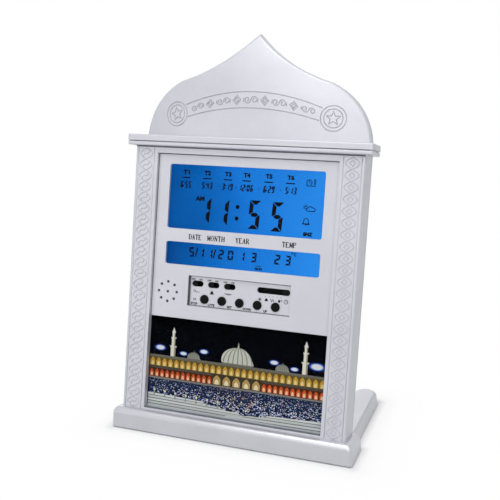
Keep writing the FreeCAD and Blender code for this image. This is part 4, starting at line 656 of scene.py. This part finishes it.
# screws and the door's mark ---
def add_screw(points, faces, seat, outward, side, length):
    """A pan-head screw with a cross recess, its head standing outward from its seat."""
    shank, rim, head_top, recess_bed, count = 1.3, 2.6, 1.6, 0.7, 24
    arm, half = 1.35, 0.34
    up = outward.cross(side)

    def add_loop(loop, height):
        points.extend((seat + side * u + up * v + outward * height) * MM for u, v in loop)

    first = len(points)
    sections = [(shank, -length), (shank, 0.0), (rim, 0.0), (rim, 0.9), (2.45, 1.3),
                (2.1, head_top)]
    for radius, height in sections:
        add_loop(circle(0, 0, radius, count), height)
    for level in range(len(sections) - 1):
        for i in range(count):
            a, b = first + level * count + i, first + level * count + (i + 1) % count
            faces.append((a, b, b + count, a + count))
    faces.append(tuple(first + i for i in range(count))[::-1])
    corner = [(half, half), (half, arm), (-half, arm)]
    cross = []
    for _ in range(4):
        cross += corner
        corner = [(-v, u) for u, v in corner]
    bed, n = len(points), len(cross)
    add_loop(cross, head_top)
    add_loop(cross, recess_bed)
    top = range(bed - count, bed + n)
    flat = [[Vector((u, v, 0)) for u, v in loop]
            for loop in (circle(0, 0, sections[-1][0], count), cross)]
    faces += [tuple(top[i] for i in face) for face in tessellate_polygon(flat)]
    faces += [(bed + i, bed + (i + 1) % n, bed + n + (i + 1) % n, bed + n + i)
              for i in range(n)]
    faces.append(tuple(bed + n + i for i in range(n)))


def make_screws():
    """The screws of the case and the stand, each cross turned its own way."""
    groups = {"case_screws": (INTO, 11.0, [(side * x, SCREW_SEAT, z) for x, z in
                                           ((COLUMN_X, 14), (COLUMN_X, 190), (42, 236))
                                           for side in (1, -1)]),
              "stand_screws": (-UPWARD, 14.0, [(60, 12, -7), (-60, 12, -7)])}
    for node, (outward, length, places) in groups.items():
        points, faces = [], []
        for place in places:
            turned = Quaternion(outward, 0.35 * place[0]) @ Vector((1, 0, 0))
            add_screw(points, faces, head(*place) / MM, outward, turned, length)
        made = make_piece(node + "_cross", points, faces, FINISHES["screw_steel"], "screw_steel")
        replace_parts(made, node)


def make_door_mark():
    """A raised arrow on the battery door that shows which way it opens."""
    mark = Relief(DOOR_FACE, 0.05, -0.35)
    mark.prism([(-5, 30.5), (5, 30.5), (0, 24)])
    mark.prism(box(-1.6, 30.5, 1.6, 38))
    mark.piece("door_arrow", FINISHES["silver_back"], "silver_back", body="door")


# raised ornament ---
def make_column_ornament():
    """Two crossing waves between border lines, with a leaf in each loop on the left column and
    a lozenge in each on the right."""
    carving = Carving(0.0)
    loops, steps, foot = 24, 10, 0.6
    pitch = (COLUMN_TOP - 2 * foot) / loops
    for side in (-1, 1):
        centre = side * COLUMN_X
        for turn in (-1, 1):
            wave = [(centre + turn * 5.1 * math.sin(math.pi * i / steps),
                     foot + pitch * i / steps) for i in range(loops * steps + 1)]
            carving.carve(wave, 0.5, 0.3)
        for k in range(loops):
            z = foot + pitch * (k + 0.5)
            if side < 0:
                leaf = [(centre + 2.6 * math.sin(math.pi * t / 2),
                         z + 2.7 * t - 0.9 * math.sin(math.pi * t))
                        for t in (i / 4 for i in range(-4, 5))]
                carving.carve(leaf, 0.45, 0.28)
            else:
                carving.carve([(centre, z - 2.2), (centre + 2.0, z), (centre, z + 2.2),
                               (centre - 2.0, z)], 0.4, 0.28, closed=True)
        for x in (74.3, 87.7):
            carving.carve([(side * x, 0.3), (side * x, COLUMN_TOP)], 0.4, 0.25)
    # pale painted shade beside the raised lines of the columns
    carving.pieces("column", PALE_GROOVE_SHADE)


def star(x, z, outer, inner, turn):
    angles = [math.radians(turn + 90 + 36 * i) for i in range(10)]
    reaches = [outer, inner] * 5
    return [(x + r * math.cos(a), z + r * math.sin(a)) for r, a in zip(reaches, angles)]


def make_crown_ornament():
    """Two star roundels joined by an arched band of scrolls and lozenges."""
    carving = Carving(crown_depth)
    wide, tall = 0.38, 0.3
    for side, turn in ((-1, 14), (1, 0)):
        x, z = side * 62.0, 231.5
        for radius in (9.2, 6.8):
            carving.carve(circle(x, z, radius, 48), wide, tall, closed=True)
        carving.carve(star(x, z, 5.1, 2.3, turn), wide, 0.35, closed=True)

    def band(x, rise):
        """A point of the band, rise 0 at its lower edge and 1 at its upper edge."""
        lower = 236.8 - 7.9 * (x / 54) ** 2
        upper = 248.8 - 10.2 * (x / 54) ** 2
        return x, lower + (upper - lower) * rise

    for rise, reach in ((0.0, 52.0), (1.0, 54.0)):
        carving.carve([band(-reach + 2 * reach * i / 60, rise) for i in range(61)], 0.36, tall)
    cells, half = 9, 44.0
    for k in range(cells):
        centre = -half + 2 * half * k / (cells - 1)
        if k % 2 == 0:
            for turn in (-1, 1):
                scroll = []
                for i in range(19):
                    angle = i / 18 * 2.6 * math.pi
                    reach = 2.6 * (1 - i / 24)
                    scroll.append(band(centre + turn * (2.7 - reach * math.cos(angle)),
                                       0.5 + turn * 0.24 * (1 - i / 24) * math.sin(angle)))
                carving.carve(scroll, wide, tall)
        else:
            for scale in (1.0, 0.5):
                carving.carve([band(centre - 3.0 * scale, 0.5), band(centre, 0.5 + 0.28 * scale),
                               band(centre + 3.0 * scale, 0.5), band(centre, 0.5 - 0.28 * scale)],
                              wide, tall, closed=True)
        if k < cells - 1:
            edge = centre + half / (cells - 1)
            carving.carve([band(edge, 0.38), band(edge, 0.62)], wide, tall)
    # dark painted shade beside the raised lines of the crown
    carving.pieces("crown", GROOVE_SHADE_SILVER)


# painted shade lines and a painted highlight ---
BLOCK = [(0, 1, 3, 2), (4, 6, 7, 5), (0, 4, 5, 1), (2, 3, 7, 6), (0, 2, 6, 4), (1, 5, 7, 3)]


def add_slab(name, xs, ys, zs, material):
    make_piece(name, [head(x, y, z) for x in xs for y in ys for z in zs], BLOCK, material,
               "silver_case")


def make_painted_shade_lines():
    """Thin strips of painted shade: a painted shadow under the cornice, painted shade in the
    cornice's neck groove, round the panel's edge, in the control recess and round the sound
    holes, painted shade and reflection on the picture's sill, and a painted highlight for the
    pale line at the foot of the picture's window."""
    for name, depth, shade, lines in (
            # painted shadow under the cornice's lower bead
            ("cornice_painted_shadow", 0.0, SHADE_SILVER, [([(-89.8, 205.1), (89.8, 205.1)], 1.1)]),
            # painted shade in the cornice's neck groove
            ("cornice_groove_painted_shade", CORNICE_NECK, GROOVE_SHADE_SILVER,
             [([(-93.5, 208.95), (93.5, 208.95)], 0.42)]),
            # painted shade along the panel's edge, under the lip of the case
            ("panel_painted_shade", PANEL_FACE, SHADE_SILVER,
             [([(-71.15, 74.4), (-71.15, 200.15), (71.15, 200.15), (71.15, 74.4)], 0.65)]),
            # painted shade round the floor of the control recess, wider by its left wall
            ("recess_painted_shade", RECESS_FLOOR, SHADE_SILVER,
             [([(-40.4, 85.1), (40.7, 85.1), (40.7, 107.9), (-40.4, 107.9)], 0.6),
              ([(-40.5, 84.8), (-40.5, 108.2)], 1.1)])):
        shade_line = Relief(depth)
        for path, width in lines:
            shade_line.line(path, width)
        shade_line.piece(name, shade)
    # a pale strip for the window's lower edge: painted highlight on the clear plastic
    edge = Relief(WINDOW_FACE)
    edge.line([(-71.3, 1.95), (71.3, 1.95)], 1.1)
    edge.piece("window_edge_painted_highlight", moulded("window_edge_painted_highlight", (0.52, 0.55, 0.58), 0.3), "clear_lens")
    # a dark strip on the picture's sill: painted shade and painted reflection of the dark picture
    shade = moulded("sill_shade", (0.15, 0.16, 0.19), 0.4)
    add_slab("sill_shade", (-71.3, 71.3), (0.5, 4.9), (VIEW_LOW, VIEW_LOW + 0.06), shade)
    # a dark sheet on the left wall of the control recess: painted shade
    add_slab("recess_shade", (-41.0, -40.92), (PANEL_FACE + 0.1, RECESS_FLOOR), (85.0, 108.0),
             SHADE_SILVER)
    # dark rings round the sound holes: painted shade that makes the holes read dark
    painted_hole_shade, radius, width = Relief(PANEL_FACE), 0.95, 0.3
    for k in range(9):
        turn, reach = math.pi * k / 4, HOLES_RING if k < 8 else 0.0
        painted_hole_shade.line(circle(HOLES_X + reach * math.cos(turn), HOLES_Z + reach * math.sin(turn),
                         radius, 16), width, closed=True)
    painted_hole_shade.piece("sound_hole_painted_shade", moulded("hole_shade", (0.03, 0.03, 0.033), 0.6))


# picture ---
PAINT_BACK, PAINT_STEP = CARD_FACE + 0.2, 0.008


class Picture:
    """Flat painted shapes on the card, each layer a hair in front of the last."""

    def __init__(self):
        self.points, self.faces, self.colours = [], [], []
        self.layer = 0

    def shape(self, loop, colour):
        """Adds a shape, cut off at the window's edges."""
        seen = [(max(-VIEW_HALF, min(VIEW_HALF, x)), max(VIEW_LOW, min(VIEW_HIGH, z)))
                for x, z in loop]
        first = len(self.points)
        depth = PAINT_BACK - self.layer * PAINT_STEP
        self.points += [head(x, depth, z) for x, z in seen]
        self.faces.append(tuple(range(first, first + len(loop))))
        self.colours.append(colour)

    def top_shape(self, loop, colour):
        """A shape that ends its layer."""
        self.shape(loop, colour)
        self.layer += 1


def mixed(one, other, share):
    return tuple(a + (b - a) * share for a, b in zip(one, other))


def paint_lamp(picture, x, z, size):
    """A floodlight's glow: blue haze round a white spot."""
    rings = ((1.0, (0.006, 0.02, 0.11)), (0.85, (0.03, 0.09, 0.42)), (0.72, (0.16, 0.32, 0.95)),
             (0.64, (0.6, 0.75, 1.0)), (0.55, (1.0, 1.0, 1.0)))
    for share, colour in rings:
        picture.top_shape(circle(x, z, size * share, 20, 0.5), colour)
    picture.layer -= len(rings)


def paint_arches(picture, x0, x1, z0, z1, pitch, wall, glow, heart):
    """A row of lit arches."""
    picture.top_shape(box(x0, z0, x1, z1), wall)
    count = max(1, round((x1 - x0) / pitch))
    step = (x1 - x0) / count
    for k in range(count):
        x = x0 + (k + 0.5) * step
        for scale, colour in ((1.0, glow), (0.55, heart)):
            half, tall = step * 0.38 * scale, (z1 - z0) * 0.85 * scale
            base = z0 + (z1 - z0) * 0.08
            picture.top_shape(
                [(x - half, base), (x + half, base), (x + half, base + tall * 0.55),
                 (x + half * 0.5, base + tall * 0.85), (x, base + tall),
                 (x - half * 0.5, base + tall * 0.85), (x - half, base + tall * 0.55)], colour)
        picture.layer -= 2
    picture.layer += 2


def paint_dome(picture, x, z, half, tall, pale, shade):
    """A ribbed dome with a drum and a finial."""
    picture.shape(box(x - half * 0.95, z - tall * 0.3, x + half * 0.95, z), shade)
    picture.top_shape(
        [(x - half * math.cos(a) * (1 + 0.12 * math.sin(2 * a)), z + tall * math.sin(a))
         for a in (math.pi * i / 24 for i in range(25))], pale)
    wide = half * 0.03
    for k in range(-3, 4):
        rib = [(x + half * 0.30 * k * math.cos(a), z + tall * math.sin(a))
               for a in (math.pi / 2 * i / 8 for i in range(9))]
        picture.shape([(px - wide, pz) for px, pz in rib]
                      + [(px + wide, pz) for px, pz in reversed(rib)], shade)
    picture.top_shape([(x - half * 0.05, z + tall * 0.97), (x + half * 0.05, z + tall * 0.97),
                       (x, z + tall * 1.35)], pale)


def paint_tower(picture, x, z0, z1, half):
    """A slim floodlit tower with balconies and a cap."""
    pale, shade = (0.98, 0.96, 0.82), (0.42, 0.38, 0.22)
    tall = z1 - z0
    levels = [(half * wide, z0 + tall * start, z0 + tall * end)
              for start, wide, end in ((0.0, 1.0, 0.42), (0.42, 0.75, 0.68), (0.68, 0.55, 0.86))]
    for wide, low, top in levels:
        picture.shape(box(x - wide, low, x + wide, top), pale)
    picture.layer += 1
    lip = tall * 0.02
    for wide, low, top in levels:
        picture.shape(box(x + wide * 0.35, low, x + wide, top), shade)
        picture.shape([(x - 1.3 * wide, top - lip), (x + 1.3 * wide, top - lip),
                       (x + 1.5 * wide, top + lip), (x - 1.5 * wide, top + lip)], pale)
    picture.layer += 1
    picture.top_shape([(x - half * 0.5, z0 + tall * 0.88), (x + half * 0.5, z0 + tall * 0.88),
                       (x + half * 0.3, z0 + tall * 0.94), (x, z1),
                       (x - half * 0.3, z0 + tall * 0.94)], pale)


def paint_hall(picture):
    """The domes, the towers and the rows of arches down to the shore."""
    for x in (-34, 38):
        paint_dome(picture, x, 43, 5.5, 5.5, (0.36, 0.37, 0.31), (0.14, 0.14, 0.11))
    paint_dome(picture, 2, 44, 13, 12.5, (0.74, 0.75, 0.64), (0.26, 0.27, 0.21))
    for x, top in ((-52, 66), (55, 68)):
        paint_tower(picture, x, 40, top, 2.0)
    paint_arches(picture, -VIEW_HALF, VIEW_HALF, 34, 41.5, 5.2, (0.16, 0.12, 0.04),
                 (0.75, 0.42, 0.06), (0.98, 0.80, 0.32))
    picture.shape(box(-VIEW_HALF, 41.3, VIEW_HALF, 43.2), (0.20, 0.19, 0.15))
    picture.top_shape(box(-VIEW_HALF, 32.4, VIEW_HALF, 34.2), (0.10, 0.09, 0.07))
    for x0, x1 in ((-VIEW_HALF, -18), (22, VIEW_HALF)):
        paint_arches(picture, x0, x1, 25.5, 32.4, 4.4, (0.10, 0.03, 0.015),
                     (0.72, 0.12, 0.03), (0.98, 0.62, 0.36))
    paint_arches(picture, -18, 22, 25.5, 34, 8, (0.06, 0.05, 0.03), (0.55, 0.36, 0.12),
                 (0.9, 0.78, 0.5))
    picture.top_shape(box(-VIEW_HALF, 25.6, VIEW_HALF, 24.2), (0.25, 0.24, 0.22))


def paint_water(picture):
    """Thousands of small glints, warmer in front of the hall."""
    rng, count, rise = random.Random(17), 2600, 0.0004
    glints = [(0.62, 0.72, 1.0), (0.95, 0.97, 1.0), (0.95, 0.97, 1.0), (0.80, 0.84, 0.95),
              (0.16, 0.25, 0.62), (0.36, 0.48, 0.88), (0.004, 0.006, 0.02), (0.01, 0.015, 0.05)]
    for _ in range(count):
        x, z = rng.uniform(-VIEW_HALF + 1.4, VIEW_HALF - 1.4), rng.uniform(3, 24)
        near = 1.15 - z / 30
        half, tall = rng.uniform(0.4, 1.1) * near, rng.uniform(0.3, 0.75) * near
        colour = rng.choice(glints)
        if abs(x - 2) < 16 and rng.random() < 0.22:
            colour = (0.75, 0.45, 0.15)
        elif rng.random() < 0.06:
            colour = (0.6, 0.25, 0.10)
        picture.shape([(x - half, z), (x, z - tall), (x + half, z), (x, z + tall)], colour)
        picture.layer += rise
    picture.layer += 1


def paint_terraces(picture):
    """Steps that lead down to the water at both sides, and a row of lamp posts."""
    pale, gap = (0.80, 0.84, 0.80), (0.16, 0.20, 0.20)
    for k in range(5):
        left, top, reach = -VIEW_HALF, 12.5 - 2.3 * k, -26 + 15 * k
        picture.top_shape([(left, top), (reach, top - 1.2), (reach + 7, top - 3.6),
                           (left, top - 3.6)], mixed(pale, (0.22, 0.26, 0.25), 0.22 * (k % 2)))
        picture.top_shape([(left, top - 1.6), (reach + 3, top - 2.5), (reach + 4, top - 2.9),
                           (left, top - 2.2)], gap)
    for k in range(3):
        right, top, reach = VIEW_HALF, 9.6 - 2.4 * k, 30 - 17 * k
        picture.top_shape([(right, top), (reach, top - 1.4), (reach - 8, top - 3.4),
                           (right, top - 3.4)], mixed(pale, (0.30, 0.34, 0.33), 0.25 * (k % 2)))
        picture.top_shape([(right, top - 1.7), (reach - 4, top - 2.6), (reach - 5, top - 3.0),
                           (right, top - 2.3)], gap)
    for k in range(7):
        x, fall = -66 + 9 * k, 0.45 * k
        picture.shape(box(x - 0.5, 10.5 - fall, x + 0.5, 14.5 - fall), (0.30, 0.34, 0.32))
        picture.shape(circle(x, 15.2 - fall, 0.9, 10), (0.95, 0.85, 0.6))
    picture.layer += 1


def make_picture():
    """A made-up domed hall by the water at night, on its card."""
    picture = Picture()
    bands, skyline = 10, 40
    for k in range(bands):
        picture.shape(box(-VIEW_HALF, skyline + 3.43 * k, VIEW_HALF, skyline + 3.43 * (k + 1)),
                      mixed((0.002, 0.0023, 0.005), (0.0005, 0.0005, 0.0008), k / (bands - 1)))
    picture.top_shape(box(-VIEW_HALF, VIEW_LOW, VIEW_HALF, skyline), (0.02, 0.035, 0.09))
    for x, z, size in ((-63, 49, 5.5), (-43, 46.5, 4), (-26, 50, 4.5), (31, 49, 4.5),
                       (47, 46, 4), (64, 50, 7)):
        paint_lamp(picture, x, z, size)
    picture.layer += 6  # in front of the lamps
    paint_hall(picture)
    paint_water(picture)
    paint_terraces(picture)
    picture.shape(box(-VIEW_HALF, VIEW_LOW, VIEW_HALF, 2.3), (0.85, 0.88, 0.90))

    first = len(picture.points)
    card_front = CARD_FACE + 0.25
    picture.points += [head(x, y, z) for y in (card_front, CARD_BACK)
                       for x, z in box(-CARD_HALF, CARD_LOW, CARD_HALF, CARD_HIGH)]
    picture.faces += [tuple(first + i for i in f) for f in
                      ((0, 1, 2, 3), (7, 6, 5, 4), (0, 4, 5, 1), (1, 5, 6, 2), (2, 6, 7, 3),
                       (3, 7, 4, 0))]
    picture.colours += [(0.002, 0.002, 0.003)] + [(0.75, 0.75, 0.72)] * 5
    mesh = bpy.data.meshes.new("picture")
    mesh.from_pydata(picture.points, [], picture.faces)
    paint = mesh.attributes.new("Paint", "FLOAT_COLOR", "CORNER")
    values = []
    for polygon, colour in zip(mesh.polygons, picture.colours):
        values += [*colour, 1.0] * polygon.loop_total
    paint.data.foreach_set("color", values)
    mesh.materials.append(FINISHES["picture_print"])
    made = add_object("picture", mesh)
    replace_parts(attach(made, "clock"), "picture_card")


# camera, floor and light ---
def make_camera():
    """The photo's view, fitted to it by least squares."""
    data = bpy.data.cameras.new("camera")
    data.sensor_width = 36
    data.lens = 57.65
    data.clip_start = 0.01
    camera = add_object("camera", data)
    camera.location = Vector((204.78, -577.94, 280.53)) * MM
    yaw, pitch, roll = (math.radians(a) for a in (19.849, -13.023, 0.403))
    ahead = Vector((-math.sin(yaw) * math.cos(pitch), math.cos(yaw) * math.cos(pitch),
                    math.sin(pitch)))
    camera.rotation_mode = "QUATERNION"
    camera.rotation_quaternion = ahead.to_track_quat("-Z", "Y") @ Quaternion((0, 0, 1), roll)
    SCENE.camera = camera


def seen_directly(graph):
    """A socket that is 1 where the camera, a reflection or a clear window looks."""
    path = graph.node("LightPath").outputs
    camera_or_glossy = graph.maths("MAXIMUM", path["Is Camera Ray"], path["Is Glossy Ray"])
    return graph.maths("MAXIMUM", camera_or_glossy, path["Is Transmission Ray"])


def mix_surfaces(graph, share, one, other, output):
    """Ends a graph in two surfaces mixed by share."""
    mix = graph.node("MixShader", {0: share, 1: one.outputs[0], 2: other.outputs[0]})
    graph.node(output, {"Surface": mix.outputs[0]})


def make_world():
    """White where it is seen, a faint cool light where it lights the clock."""
    world = bpy.data.worlds.new("studio")
    world.use_nodes = True
    SCENE.world = world
    graph = Graph(world.node_tree)
    graph.tree.nodes.clear()
    room = graph.node("Background", {"Color": (0.93, 0.95, 1.0), "Strength": 0.25})
    backdrop = graph.node("Background", {"Color": grey(1)})
    mix_surfaces(graph, seen_directly(graph), room, backdrop, "OutputWorld")


def clear_of_clock(graph):
    """A socket that rises to 1 away from the stand's bar and legs, so that the floor keeps
    its shadow where it stands."""
    place = graph.node("TexCoord").outputs["Object"]

    def vector(how, value, other=(0, 0, 0)):
        step = graph.node("VectorMath", {0: value, 1: other}, operation=how)
        return step.outputs[1 if how == "LENGTH" else 0]

    # distances in metres from the middle and half sizes of the bar and of the right leg,
    # with the left half folded onto the right one
    mirrored = vector("ABSOLUTE", vector("MULTIPLY", place, (1, 0, 0)))
    folded = vector("ADD", mirrored, vector("MULTIPLY", place, (0, 1, 0)))
    gaps = []
    for centre, half in (((0, -0.046, 0), (0.096, 0.015, 0)),
                         ((0.082, 0.015, 0), (0.009, 0.045, 0))):
        beyond = vector("ABSOLUTE", vector("SUBTRACT", folded, centre))
        gaps.append(vector("LENGTH", vector("MAXIMUM", vector("SUBTRACT", beyond, half))))
    share = graph.spread(graph.maths("MINIMUM", *gaps), 0, 1, 0, 0.1)
    return graph.ramp(share, *((where, grey(tone)) for where, tone in (
        (0, 0), (0.03, 0.4), (0.08, 0.86), (0.2, 0.97), (0.45, 0.995), (1, 1))))


def make_floor():
    """White paper that keeps the shadow round the stand."""
    mesh = bpy.data.meshes.new("floor")
    mesh.from_pydata([(x, y, 0) for x, y in box(-4, -4, 4, 4)], [], [(0, 1, 2, 3)])
    floor = add_object("floor", mesh)
    material = bpy.data.materials.new("floor")
    material.use_nodes = True
    graph = Graph(material.node_tree)
    graph.tree.nodes.clear()
    paper = graph.node("BsdfDiffuse", {"Color": grey(0.9)})
    lift = graph.node("Emission", {"Color": grey(1)})
    share = graph.maths("MULTIPLY", seen_directly(graph), clear_of_clock(graph))
    mix_surfaces(graph, share, paper, lift, "OutputMaterial")
    mesh.materials.append(material)


def make_lamp(name, place, power, size):
    """A square lamp aimed at the middle of the clock; its place is in metres."""
    data = bpy.data.lights.new(name, "AREA")
    data.energy = power
    data.size = size
    lamp = add_object(name, data)
    lamp.location = place
    aim = Vector((0, 0, 0.15)) - lamp.location
    lamp.rotation_mode = "QUATERNION"
    lamp.rotation_quaternion = aim.to_track_quat("-Z", "Y")


make_camera()
make_world()
make_floor()
make_lamp("key", (0.3, -1.4, 1.5), 15, 1.8)
make_lamp("fill", (0.9, -1.6, 0.95), 4.4, 1.5)
make_lamp("side", (-1.15, -1.35, 0.25), 1.5, 0.35)
make_lamp("top", (-0.1, -0.5, 1.7), 7.6, 0.7)
make_lamp("back", (-0.8, 1.8, 0.9), 4, 1.2)
SCENE.view_settings.view_transform = "Standard"

dress_nodes()
make_display()
make_panel_print()
make_control_print()
make_column_ornament()
make_crown_ornament()
make_painted_shade_lines()
make_screws()
make_door_mark()
make_picture()
